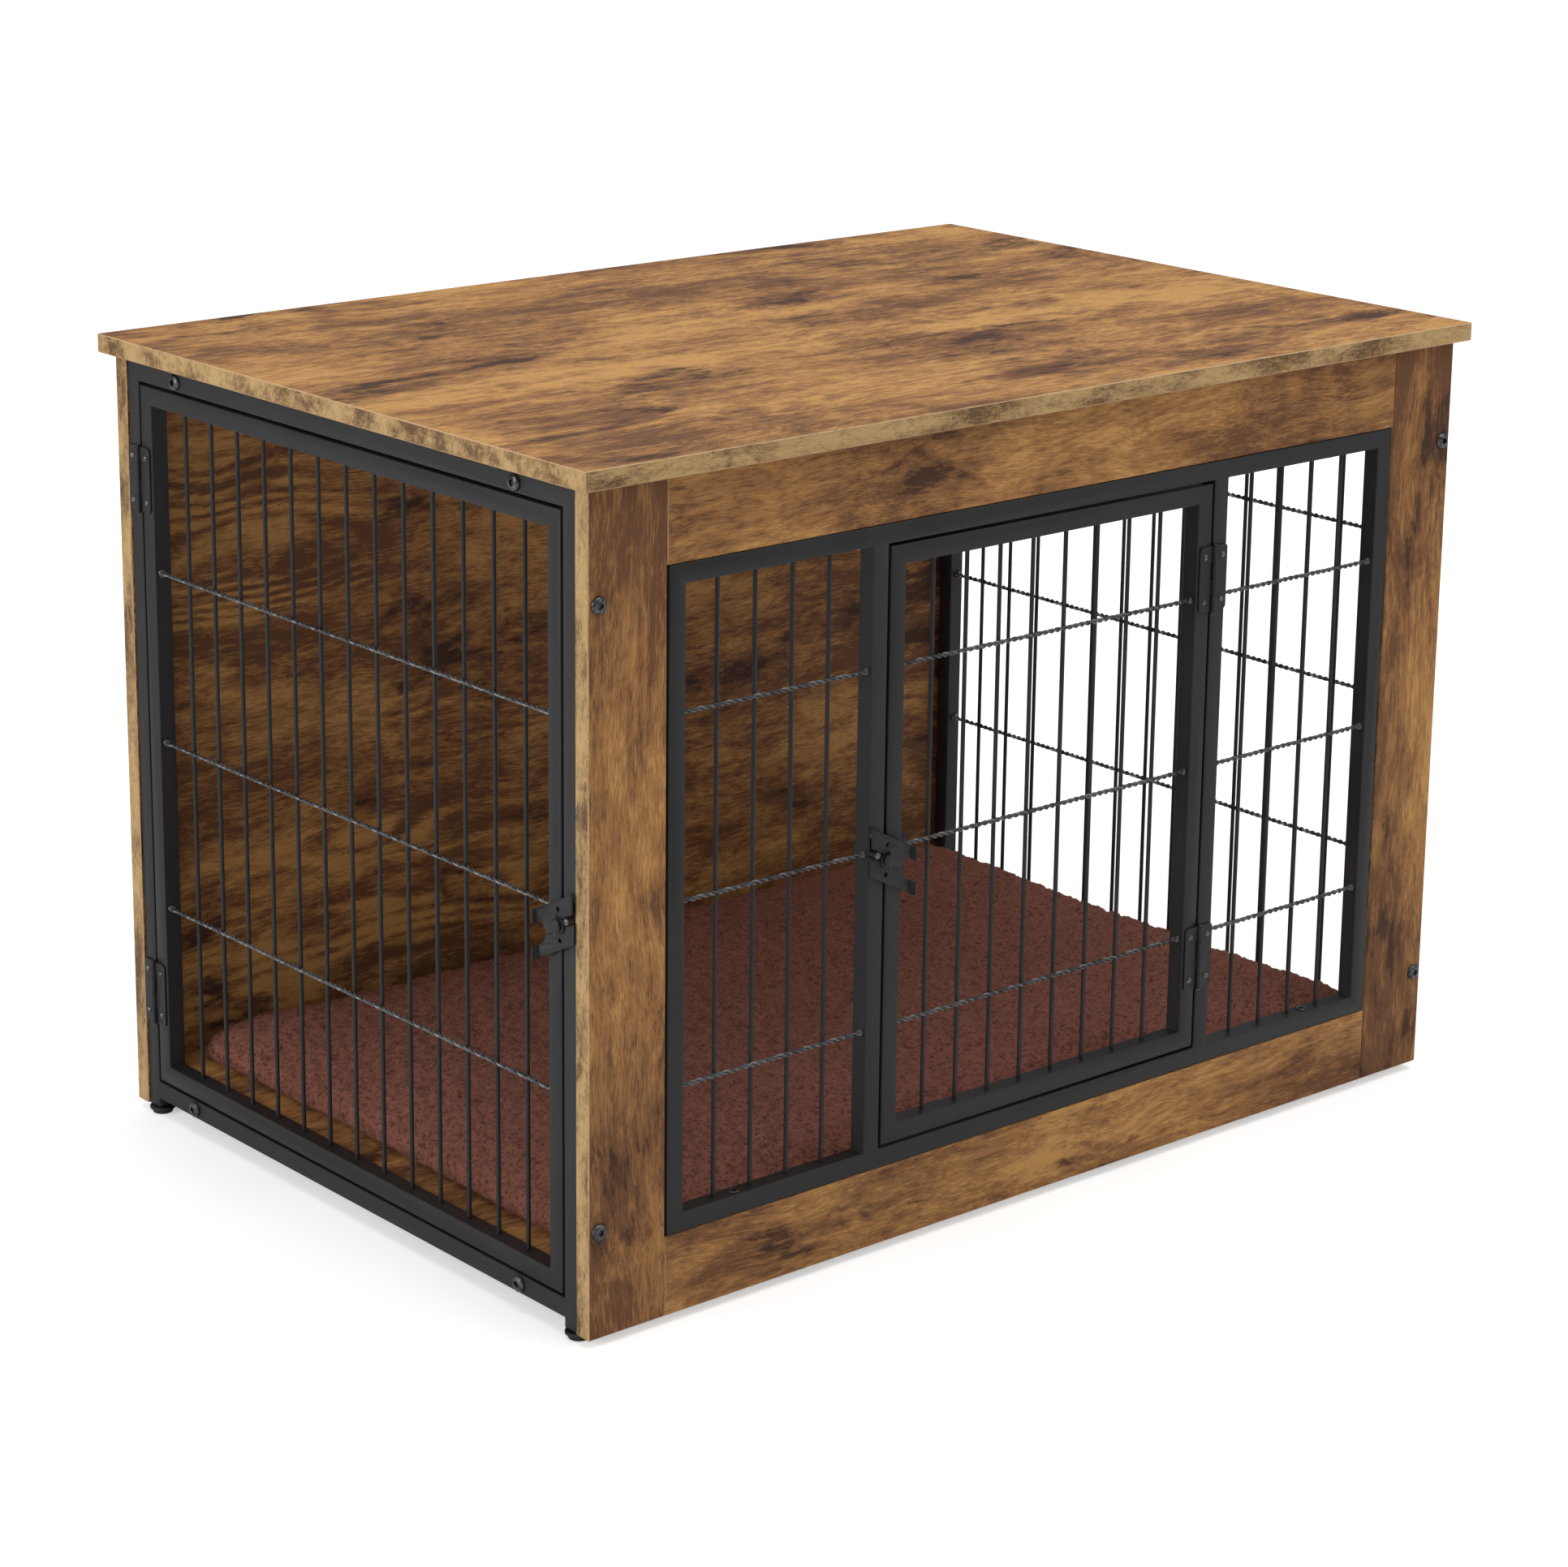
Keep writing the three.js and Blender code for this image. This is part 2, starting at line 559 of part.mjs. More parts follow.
// hand is the sign of the wall's x that points to the hinged edge.
function addHinges(wall, name, door, hand) {
  const axisX = hand * (door.halfWidth + DOOR_GAP / 2 + HINGE_PIN_OFFSET);
  const reach = HINGE_END_DISTANCE + HINGE_HEIGHT / 2;
  const levels = { lower: door.bottom + reach, upper: door.top - reach };
  const even = [...Array(KNUCKLES).keys()].filter((i) => i % 2 === 0);
  const odd = [...Array(KNUCKLES).keys()].filter((i) => i % 2 === 1);
  for (const [level, z] of Object.entries(levels)) {
    const hinge = new THREE.Group();
    hinge.position.set(axisX, 0, z);
    wall.add(hinge);
    addPiece(hinge, `${name}_${level}_hinge_fixed_leaf`, hingeLeaf(hand, even), blackSteel());
    addPiece(hinge, `${name}_${level}_hinge_door_leaf`, hingeLeaf(-hand, odd), blackSteel());
    addPiece(hinge, `${name}_${level}_hinge_pin`, hingePin(), blackZinc());
  }
}

// ---- Pinch latches ----

// A flat lever above (side 1) or below (side -1) the centre line, its jaw towards -X.
function lever(side, frontY) {
  const fall = Math.tan(LATCH_SLOPE);
  const jaw = KEEPER_PIN_RADIUS + KEEPER_JAW_CLEARANCE;
  const corners = [
    [-LEVER_JAW_REACH, jaw],
    [0, jaw],
    [0, -LEVER_WEB_DROP],
    [LEVER_WEB_REACH, -LEVER_WEB_DROP],
    [LEVER_FINGER_START, LEVER_NOTCH_HALF],
    [LEVER_FINGER_REACH, LEVER_NOTCH_HALF],
    [LEVER_FINGER_REACH, LEVER_HEIGHT],
    [-LEVER_JAW_REACH, LEVER_HEIGHT],
  ];
  const outline = new THREE.Shape(corners.map(([x, out]) => new THREE.Vector2(x, side * out - x * fall)));
  const backY = frontY + LEVER_THICKNESS;
  const hub = rod([0, frontY, 0], [0, backY, 0], LEVER_HUB_RADIUS, ROUND_SIDES);
  const lipEdges = [LEVER_NOTCH_HALF, LEVER_HEIGHT].map((out) => side * out - LEVER_FINGER_REACH * fall);
  lipEdges.sort((a, b) => a - b);
  const lip = block(
    [LEVER_FINGER_REACH - LEVER_LIP_THICKNESS, -LEVER_LIP_REACH, lipEdges[0]],
    [LEVER_FINGER_REACH, backY, lipEdges[1]],
  );
  const [start, end] = [frontY - CUT_OVERSHOOT, backY + CUT_OVERSHOOT];
  const boreRadius = PIVOT_RADIUS + PIVOT_CLEARANCE;
  const bore = rod([0, start, 0], [0, end, 0], boreRadius, SMALL_ROUND_SIDES);
  const half = SPRING_HOLE / 2;
  const holeZ = side * SPRING_HOLE_OUT;
  const springHole = block([-half, start, holeZ - half], [half, end, holeZ + half]);
  return cut(join([plate(outline, LEVER_THICKNESS, frontY), hub, lip]), [bore, springHole]);
}

// Mirrors a geometry across x = 0 and turns its triangles the right way out again.
function mirrored(geometry) {
  const flipped = mergeVertices(geometry.clone().scale(-1, 1, 1));
  const corners = flipped.index.array;
  for (let i = 0; i < corners.length; i += 3) {
    [corners[i], corners[i + 1]] = [corners[i + 1], corners[i]];
  }
  return flipped;
}

// The stud the levers turn on, and the plate that carries it from the door's face.
function latchPivot() {
  const head = LEVER_LAYER_GAP + SPRING_RISE + SPRING_WIRE + SEAT_GAP - FRONT_LEVER_Y;
  const profile = [
    [0, SEAT_GAP],
    [PIVOT_FLANGE_RADIUS, SEAT_GAP],
    [PIVOT_FLANGE_RADIUS, PIVOT_FLANGE_HEIGHT],
    [PIVOT_RADIUS, PIVOT_FLANGE_HEIGHT],
    [PIVOT_RADIUS, head],
    [PIVOT_HEAD_RADIUS, head],
    [PIVOT_HEAD_TOP_RADIUS, head + PIVOT_HEAD_HEIGHT],
    [0, head + PIVOT_HEAD_HEIGHT],
  ];
  const halfBase = LATCH_BASE_HEIGHT / 2;
  const base = block(
    [-LATCH_BASE_POST_REACH, -SEAT_GAP - LATCH_BASE_THICKNESS, -halfBase],
    [LATCH_BASE_DOOR_REACH, -SEAT_GAP, halfBase],
  );
  return join([turned(profile, ROUND_SIDES).rotateX(Math.PI / 2), base]);
}

// Torsion spring round the pivot, its legs hooked into the levers' square holes.
function latchSpring() {
  const start = Math.asin(SPRING_COIL_RADIUS / SPRING_HOLE_OUT);
  const sweep = 2 * start + 2 * Math.PI;
  const lowest = LEVER_LAYER_GAP + SPRING_WIRE / 2 - FRONT_LEVER_Y;
  const highest = lowest + SPRING_RISE;
  const hole = (sign, height) => new THREE.Vector3(0, -height, sign * SPRING_HOLE_OUT);
  const points = [];
  points.push(hole(1, -FRONT_LEVER_Y - LEVER_THICKNESS));
  points.push(hole(1, highest - SPRING_WIRE));
  for (let i = 0; i <= SPRING_COIL_STEPS; i += 1) {
    const angle = start - (sweep * i) / SPRING_COIL_STEPS;
    const height = highest - (SPRING_RISE * i) / SPRING_COIL_STEPS;
    const [x, z] = [SPRING_COIL_RADIUS * Math.cos(angle), SPRING_COIL_RADIUS * Math.sin(angle)];
    points.push(new THREE.Vector3(x, -height, z));
  }
  points.push(hole(-1, lowest));
  points.push(hole(-1, -REAR_LEVER_Y - LEVER_THICKNESS));
  const section = new THREE.Shape();
  section.absarc(0, 0, SPRING_WIRE / 2, 0, 2 * Math.PI);
  const path = new THREE.CatmullRomCurve3(points, false, 'centripetal');
  const options = { extrudePath: path, steps: SPRING_STEPS, curveSegments: SPRING_SECTION_SEGMENTS };
  return new THREE.ExtrudeGeometry(section, options);
}

function latchKeeper() {
  const half = KEEPER_STRAP_HEIGHT / 2;
  const inner = KEEPER_STRAP_WIDTH / 2;
  const face = SEAT_GAP + KEEPER_STRAP_THICKNESS;
  const pieces = [block([-inner, -face, -half], [inner, -SEAT_GAP, half])];
  const stud = (z, height, radius) => rod([0, -SEAT_GAP, z], [0, -height, z], radius, ROUND_SIDES);
  pieces.push(stud(0, SEAT_GAP + KEEPER_PIN_HEIGHT, KEEPER_PIN_RADIUS));
  for (const sign of [-1, 1]) {
    pieces.push(stud((sign * KEEPER_RIVET_SPACING) / 2, face + KEEPER_RIVET_HEIGHT, KEEPER_RIVET_RADIUS));
  }
  return join(pieces);
}

// hand is the sign of the wall's x that points to the door's hinged edge.
function addLatch(wall, name, door, hand) {
  const handed = (geometry) => (hand > 0 ? geometry : mirrored(geometry));
  const latch = new THREE.Group();
  latch.position.set(-hand * (door.halfWidth + LATCH_PIVOT_OFFSET), 0, LATCH_HEIGHT);
  wall.add(latch);
  addPiece(latch, `${name}_latch_upper_lever`, handed(lever(1, FRONT_LEVER_Y)), blackSteel());
  addPiece(latch, `${name}_latch_lower_lever`, handed(lever(-1, REAR_LEVER_Y)), blackSteel());
  addPiece(latch, `${name}_latch_pivot`, handed(latchPivot()), blackZinc());
  addPiece(latch, `${name}_latch_spring`, handed(latchSpring()), blackZinc());
  const keeper = addPiece(latch, `${name}_latch_keeper`, latchKeeper(), blackZinc());
  keeper.position.set(-hand * KEEPER_PIN_REACH, 0, KEEPER_PIN_REACH * Math.tan(LATCH_SLOPE));
}

// ---- Bolts, angles and feet ----

// A button-head bolt along z, its head above z = 0.
function bolt(length) {
  const profile = [
    [0, -length],
    [BOLT_RADIUS, -length],
    [BOLT_RADIUS, SEAT_GAP],
    [BOLT_HEAD_RADIUS, SEAT_GAP],
    [BOLT_HEAD_RADIUS, BOLT_HEAD_EDGE],
    [BOLT_HEAD_TOP_RADIUS, BOLT_HEAD_HEIGHT],
    [0, BOLT_HEAD_HEIGHT],
  ];
  const top = BOLT_HEAD_HEIGHT;
  const socketEnds = [[0, 0, top - BOLT_SOCKET_DEPTH], [0, 0, top + CUT_OVERSHOOT]];
  return cut(turned(profile, SMALL_ROUND_SIDES), [rod(...socketEnds, BOLT_SOCKET_RADIUS, 6)]);
}

// A bolt driven into a wall from its front, at x and z.
function addBolt(wall, name, x, z, length) {
  const piece = addPiece(wall, name, bolt(length), blackZinc());
  piece.rotation.x = Math.PI / 2;
  piece.position.set(x, 0, z);
}

function addBolts() {
  const frontReach = PANEL_THICKNESS + SIDE_FRAME_FIT + BOLT_ENGAGEMENT;
  for (const [side, sign] of [['left', -1], ['right', 1]]) {
    for (const [level, z] of Object.entries(FRONT_BOLT_LEVELS)) {
      addBolt(frontWall, `front_${side}_${level}_bolt`, sign * (HALF_LENGTH - FOOT_INSET), z, frontReach);
    }
  }
  const sideReach = TUBE + SEAT_GAP + ANGLE_THICKNESS + BOLT_TIP;
  for (const [side, wall, frontSide] of [['left', leftWall, 1], ['right', rightWall, -1]]) {
    for (const [level, z] of Object.entries(SIDE_BOLT_LEVELS)) {
      addBolt(wall, `${side}_front_${level}_bolt`, frontSide * SIDE_BOLT_X, z, sideReach);
      addBolt(wall, `${side}_back_${level}_bolt`, -frontSide * SIDE_BOLT_X, z, sideReach);
    }
  }
}

// An angle inside a side frame. Its level leg's bearing face lies at bearing, and the other leg
// runs from there towards the sign of upright.
function angle(bearing, upright, boltLevel) {
  const backY = TUBE + SEAT_GAP;
  const half = SIDE_FRAME_HALF - ANGLE_END_DISTANCE;
  const span = (start, length) => [start, start + upright * length].sort((a, b) => a - b);
  const [levelLow, levelHigh] = span(bearing, ANGLE_THICKNESS);
  const [low, high] = span(bearing, ANGLE_LEG);
  const bar = join([
    block([-half, backY, levelLow], [half, backY + ANGLE_LEG, levelHigh]),
    block([-half, backY, low], [half, backY + ANGLE_THICKNESS, high]),
  ]);
  const holes = [-SIDE_BOLT_X, SIDE_BOLT_X].map((x) => {
    const start = [x, backY - CUT_OVERSHOOT, boltLevel];
    const end = [x, backY + ANGLE_THICKNESS + CUT_OVERSHOOT, boltLevel];
    return rod(start, end, BOLT_RADIUS + BOLT_CLEARANCE, SMALL_ROUND_SIDES);
  });
  return cut(bar, holes);
}

function addAngles() {
  for (const [side, wall] of [['left', leftWall], ['right', rightWall]]) {
    const topAngle = angle(PANEL_HEIGHT, -1, SIDE_BOLT_LEVELS.upper);
    const floorAngle = angle(FLOOR_BOTTOM - SEAT_GAP, -1, SIDE_BOLT_LEVELS.lower);
    addPiece(wall, `${side}_top_angle`, topAngle, blackSteel());
    addPiece(wall, `${side}_floor_angle`, floorAngle, blackSteel());
  }
}

function foot() {
  const stemTop = PANEL_CLEARANCE + FOOT_STEM_LENGTH;
  const profile = [
    [0, 0],
    [FOOT_SOLE_RADIUS, 0],
    [FOOT_BEVEL_RADIUS, FOOT_BEVEL_HEIGHT],
    [FOOT_RIM_RADIUS, FOOT_RIM_HEIGHT],
    [FOOT_RIM_RADIUS, FOOT_PAD_HEIGHT],
    [FOOT_STEM_RADIUS, FOOT_PAD_HEIGHT],
    [FOOT_STEM_RADIUS, stemTop],
    [0, stemTop],
  ];
  return turned(profile, ROUND_SIDES);
}

function addFeet() {
  for (const [end, y] of [['front', -FOOT_Y], ['back', FOOT_Y]]) {
    for (const [side, sign] of [['left', -1], ['right', 1]]) {
      const piece = addPiece(crate, `${end}_${side}_foot`, foot(), blackPlastic());
      piece.position.set(sign * (HALF_LENGTH - FOOT_INSET), y, GROUND);
    }
  }
}

// ---- Bed ----

// A rounded rectangle, its straight sides drawn in towards their middles.
function bedOutline() {
  const halfX = BED_HALF_LENGTH - BED_CORNER_RADIUS;
  const halfY = BED_HALF_WIDTH - BED_CORNER_RADIUS;
  const corners = [[halfX, halfY], [-halfX, halfY], [-halfX, -halfY], [halfX, -halfY]];
  const points = [];
  corners.forEach(([cornerX, cornerY], quarter) => {
    for (let i = 0; i <= BED_CORNER_STEPS; i += 1) {
      const turn = (Math.PI / 2) * (quarter + i / BED_CORNER_STEPS);
      const [outX, outY] = [BED_CORNER_RADIUS * Math.cos(turn), BED_CORNER_RADIUS * Math.sin(turn)];
      points.push([cornerX + outX, cornerY + outY]);
    }
    const [nextX, nextY] = corners[(quarter + 1) % 4];
    const outward = (Math.PI / 2) * (quarter + 1);
    for (let i = 1; i < BED_SIDE_STEPS; i += 1) {
      const along = i / BED_SIDE_STEPS;
      const offset = BED_CORNER_RADIUS - BED_SIDE_DRAW * Math.sin(Math.PI * along) ** 2;
      const x = cornerX + (nextX - cornerX) * along + offset * Math.cos(outward);
      const y = cornerY + (nextY - cornerY) * along + offset * Math.sin(outward);
      points.push([x, y]);
    }
  });
  return points;
}

// Rings of the outline, from the flat underside round the bulging edge and up the crown.
function bedGeometry() {
  const outline = bedOutline();
  const count = outline.length;
  const rings = [];
  for (let i = 0; i <= BED_EDGE_STEPS; i += 1) {
    const turn = Math.PI * (i / BED_EDGE_STEPS - 0.5);
    const height = (BED_EDGE_HEIGHT / 2) * (1 + Math.sin(turn));
    rings.push([BED_EDGE_BULGE * (1 - Math.cos(turn)), height]);
  }
  for (let i = 1; i < BED_CROWN_STEPS; i += 1) {
    const inward = i / BED_CROWN_STEPS;
    const inset = BED_EDGE_BULGE + (BED_HALF_WIDTH - BED_EDGE_BULGE) * inward ** BED_CROWN_FLATNESS;
    rings.push([inset, BED_EDGE_HEIGHT + BED_CROWN * Math.sin((Math.PI / 2) * inward)]);
  }
  const positions = [0, 0, 0];
  for (const [inset, height] of rings) {
    const scaleX = 1 - inset / BED_HALF_LENGTH;
    const scaleY = 1 - inset / BED_HALF_WIDTH;
    for (const [x, y] of outline) positions.push(x * scaleX, y * scaleY, height);
  }
  positions.push(0, 0, BED_EDGE_HEIGHT + BED_CROWN);
  const last = rings.length * count + 1;
  const triangles = [];
  for (let i = 0; i < count; i += 1) {
    const next = (i + 1) % count;
    triangles.push(0, 1 + next, 1 + i);
    for (let ring = 0; ring < rings.length - 1; ring += 1) {
      const low = 1 + ring * count;
      const high = low + count;
      triangles.push(low + i, low + next, high + next);
      triangles.push(low + i, high + next, high + i);
    }
    triangles.push(last - count + i, last - count + next, last);
  }
  const geometry = new THREE.BufferGeometry();
  geometry.setAttribute('position', new THREE.Float32BufferAttribute(positions, 3));
  geometry.setIndex(triangles);
  geometry.computeVertexNormals();
  return geometry;
}

function addBed() {
  const piece = addPiece(crate, 'bed', bedGeometry(), fleece());
  piece.position.z = PANEL_BOTTOM + FLOOR_TOP + SEAT_GAP;
}

// ---- The whole table ----

addTop();
addFrontPanel();
addBackPanel();
addFloor();
addFrontFrame();
addSideFrame(leftWall, 'left_side_frame', 1, true);
addSideFrame(rightWall, 'right_side_frame', -1, false);
addFixedGrilles();
addDoor(frontWall, 'front_door', FRONT_DOOR);
addDoor(leftWall, 'side_door', SIDE_DOOR);
addHinges(frontWall, 'front_door', FRONT_DOOR, 1);
addHinges(leftWall, 'side_door', SIDE_DOOR, -1);
addLatch(frontWall, 'front', FRONT_DOOR, 1);
addLatch(leftWall, 'side', SIDE_DOOR, -1);
addBolts();
addAngles();
addFeet();
addBed();

export default crate;
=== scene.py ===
import json
from math import cos, pi, radians, sin

import bmesh
import bpy
from mathutils import Matrix, Vector, noise


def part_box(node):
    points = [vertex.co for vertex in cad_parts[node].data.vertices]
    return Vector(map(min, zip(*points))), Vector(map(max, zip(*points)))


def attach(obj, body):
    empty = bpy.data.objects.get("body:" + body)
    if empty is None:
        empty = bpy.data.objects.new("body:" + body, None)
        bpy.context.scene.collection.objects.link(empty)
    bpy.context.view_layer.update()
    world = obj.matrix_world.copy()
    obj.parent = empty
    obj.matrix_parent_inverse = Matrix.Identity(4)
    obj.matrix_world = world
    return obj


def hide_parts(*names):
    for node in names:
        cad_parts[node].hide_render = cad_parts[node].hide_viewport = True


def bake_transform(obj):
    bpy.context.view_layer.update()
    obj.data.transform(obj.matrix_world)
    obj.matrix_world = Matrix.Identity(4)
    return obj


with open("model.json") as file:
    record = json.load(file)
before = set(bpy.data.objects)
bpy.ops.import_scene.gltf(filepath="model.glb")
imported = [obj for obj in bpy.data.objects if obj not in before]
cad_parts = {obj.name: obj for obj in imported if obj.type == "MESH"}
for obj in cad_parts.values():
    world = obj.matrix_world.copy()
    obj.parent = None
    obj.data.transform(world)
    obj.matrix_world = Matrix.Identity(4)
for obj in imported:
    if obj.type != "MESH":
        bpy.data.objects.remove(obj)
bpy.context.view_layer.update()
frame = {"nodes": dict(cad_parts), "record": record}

crate_scene = bpy.context.scene
MM = 0.001


# ---- Welded steel frames ----
# The front frame, both side frames and both door frames are mitred from square tube, welded, and
# sprayed with a satin black powder coat. The tube's corners are slightly rounded.

MERGE_DISTANCE = 0.01 * MM
TUBE_CORNER = 0.9 * MM
LEAST_ROUNDED_EDGE = 6 * MM
LEAST_ROUNDED_ANGLE = 40
COAT_BLACK = (0.0165, 0.0157, 0.0168, 1)
COAT_WORN = (0.0245, 0.0236, 0.0248, 1)
COAT_ROUGHNESS = 0.42
COAT_SPECULAR = 0.34
COAT_CLOUD_SCALE = 14
COAT_PEEL_SCALE = 900
COAT_SPECK_SCALE = 2600
COAT_BUMP = (0.25, 0.06 * MM)


def fill_inputs(tree, node, inputs):
    """Links an input where a socket is given for it, and sets its value otherwise."""
    for name, value in inputs.items():
        if isinstance(value, bpy.types.NodeSocket):
            tree.links.new(value, node.inputs[name])
        else:
            node.inputs[name].default_value = value


def place_node(tree, kind, inputs=None, **settings):
    """A new node, with its settings made and its inputs linked or set."""
    node = tree.nodes.new(kind)
    for name, value in settings.items():
        setattr(node, name, value)
    fill_inputs(tree, node, inputs or {})
    return node


def math_result(tree, operation, *values):
    inputs = dict(enumerate(values))
    return place_node(tree, "ShaderNodeMath", inputs, operation=operation).outputs[0]


def blend_colors(tree, amount, first, second):
    """A Mix node set to colours, which are its inputs 6 and 7 and its output 2."""
    inputs = {0: amount, 6: first, 7: second}
    return place_node(tree, "ShaderNodeMix", inputs, data_type="RGBA").outputs[2]


def ramp_between(tree, value, low, high, to_low=0.0, to_high=1.0):
    """The value carried smoothly from one range into another, and held at its ends."""
    inputs = {"Value": value, "From Min": low, "From Max": high, "To Min": to_low, "To Max": to_high}
    node = place_node(tree, "ShaderNodeMapRange", inputs, interpolation_type="SMOOTHSTEP")
    return node.outputs["Result"]


def fine_noise(tree, vector, scale, detail=2.0, roughness=0.5, distortion=0.0):
    inputs = {
        "Vector": vector,
        "Scale": scale,
        "Detail": detail,
        "Roughness": roughness,
        "Distortion": distortion,
    }
    return place_node(tree, "ShaderNodeTexNoise", inputs).outputs["Fac"]


def start_group(name, inputs):
    """An empty group for a finish, and the input sockets that its own nodes read from."""
    group = bpy.data.node_groups.new(name, "ShaderNodeTree")
    for label, kind, value in inputs:
        kind = f"NodeSocket{kind}"
        socket = group.interface.new_socket(name=label, in_out="INPUT", socket_type=kind)
        socket.default_value = value
    for label, kind in (("Color", "Color"), ("Roughness", "Float"), ("Height", "Float")):
        group.interface.new_socket(name=label, in_out="OUTPUT", socket_type=f"NodeSocket{kind}")
    return group, group.nodes.new("NodeGroupInput").outputs


def end_group(group, color, roughness, height):
    place_node(group, "NodeGroupOutput", {"Color": color, "Roughness": roughness, "Height": height})
    return group


def start_material(name):
    """A new material's tree with its Principled shader and the piece's own coordinates."""
    material = bpy.data.materials.new(name)
    material.use_nodes = True
    tree = material.node_tree
    place = place_node(tree, "ShaderNodeTexCoord").outputs["Object"]
    return material, tree, tree.nodes["Principled BSDF"], place


def add_bump(tree, shader, height, strength, distance):
    inputs = {"Height": height, "Strength": strength, "Distance": distance}
    bump = place_node(tree, "ShaderNodeBump", inputs)
    tree.links.new(bump.outputs["Normal"], shader.inputs["Normal"])


def apply_group(tree, shader, group_tree, place, values, specular, bump):
    """Gives a finish group its place and values, and the shader what the group makes."""
    inputs = {label.replace("_", " ").capitalize(): value for label, value in values.items()}
    group = place_node(tree, "ShaderNodeGroup", inputs | {"Place": place}, node_tree=group_tree)
    fill_inputs(tree, shader, {
        "Base Color": group.outputs["Color"],
        "Roughness": group.outputs["Roughness"],
        "Specular IOR Level": specular,
    })
    add_bump(tree, shader, group.outputs["Height"], *bump)


def make_powder_coat_group():
    """A thin coat with rubbed clouds and specks, and the faint relief of sprayed powder."""
    group, given = start_group("Powder coat", [
        ("Place", "Vector", (0, 0, 0)),
        ("Coat", "Color", COAT_BLACK),
        ("Rubbed", "Color", COAT_WORN),
        ("Least roughness", "Float", COAT_ROUGHNESS),
    ])
    place = given["Place"]
    clouds = ramp_between(group, fine_noise(group, place, COAT_CLOUD_SCALE, 3), 0.3, 0.75)
    specks = ramp_between(group, fine_noise(group, place, COAT_SPECK_SCALE, 1), 0.6, 0.75)
    faint_specks = math_result(group, "MULTIPLY", specks, 0.35)
    color = blend_colors(group, clouds, given["Coat"], given["Rubbed"])
    color = blend_colors(group, faint_specks, color, given["Rubbed"])
    roughness = math_result(group, "MULTIPLY_ADD", clouds, 0.1, given["Least roughness"])
    return end_group(group, color, roughness, fine_noise(group, place, COAT_PEEL_SCALE, 2))


powder_coat_group = make_powder_coat_group()


def make_powder_coat(name, specular, **values):
    material, tree, shader, place = start_material(name)
    apply_group(tree, shader, powder_coat_group, place, values, specular, COAT_BUMP)
    return material


def merged_shell(node, distance=MERGE_DISTANCE):
    """A copy of a CAD node's surface, with the points that its triangles share made one."""
    shell = bmesh.new()
    shell.from_mesh(frame["nodes"][node].data)
    bmesh.ops.remove_doubles(shell, verts=shell.verts, dist=distance)
    return shell


def mesh_of(shell, name):
    mesh = bpy.data.meshes.new(name)
    shell.to_mesh(mesh)
    shell.free()
    return mesh


def softened_copy(node, name, corner, least_edge, segments):
    """A merged copy of a CAD node with its long edges rounded, standing for that node."""
    shell = merged_shell(node)
    bmesh.ops.dissolve_limit(shell, angle_limit=radians(1), verts=shell.verts, edges=shell.edges)
    sharp = radians(LEAST_ROUNDED_ANGLE)
    long_edges = [
        edge for edge in shell.edges
        if edge.is_manifold and edge.calc_face_angle() > sharp and edge.calc_length() > least_edge
    ]
    bmesh.ops.bevel(
        shell, geom=long_edges, offset=corner, offset_type="OFFSET", segments=segments, profile=0.5,
        affect="EDGES", clamp_overlap=False,
    )
    return mesh_of(shell, name)


def linked_object(name, data):
    thing = bpy.data.objects.new(name, data)
    crate_scene.collection.objects.link(thing)
    return thing


def show_piece(name, mesh, body, materials, replaced=(), smooth=30):
    """Puts a finished mesh in the scene, on the body that carries it where one alone does."""
    for material in materials:
        mesh.materials.append(material)
    mesh.polygons.foreach_set("use_smooth", [True] * len(mesh.polygons))
    mesh.set_sharp_from_angle(angle=radians(smooth))
    piece = linked_object(name, mesh)
    if body:
        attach(piece, body)
    if replaced:
        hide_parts(*replaced)
    return piece


powder_coat = make_powder_coat("satin_black_powder_coat", COAT_SPECULAR)
frame_bodies = {
    "left_side_frame": "cabinet",
    "right_side_frame": "cabinet",
    "front_frame": "cabinet",
    "front_door_frame": "front_door",
    "side_door_frame": "side_door",
}
for node, body in frame_bodies.items():
    tube_mesh = softened_copy(node, f"{node}_tube", TUBE_CORNER, LEAST_ROUNDED_EDGE, 2)
    show_piece(f"{node}_tube", tube_mesh, body, [powder_coat], [node])


# ---- Barred grilles ----
# Each opening is filled with upright round bars and three cross wires. A cross wire is two thin
# strands twisted together, and a bead of weld holds each of its ends to the tube.

BAR_DIAMETER = 3.5 * MM
BAR_SIDES = 12
BAR_PITCH = 36 * MM
STRAND_DIAMETER = 2.1 * MM
STRAND_SIDES = 6
TWIST_PITCH = 13 * MM
STEPS_PER_TWIST = 8
CROSS_WIRES = 3
CROSS_PITCH = 141 * MM
WELD_RADIUS = 3.5 * MM
WELD_LUMP_SCALE = 260.0
# The wires' coat mixes its black with a far lighter grey than the frames' rubbed grey. That grey is
# painted highlight standing in for the glints along the twisted strands; their low roughness and high
# specular give real glints as well.
WIRE_COAT_AND_PAINTED_GLINT = {"coat": (0.032, 0.031, 0.032, 1), "rubbed": (0.10, 0.098, 0.10, 1), "least_roughness": 0.2}
WIRE_SPECULAR = 0.9
GRILLE_WALLS = {
    "front_left_grille": ("cabinet", 0),
    "front_right_grille": ("cabinet", 0),
    "right_side_grille": ("cabinet", 90),
    "front_door_grille": ("front_door", 0),
    "side_door_grille": ("side_door", -90),
}


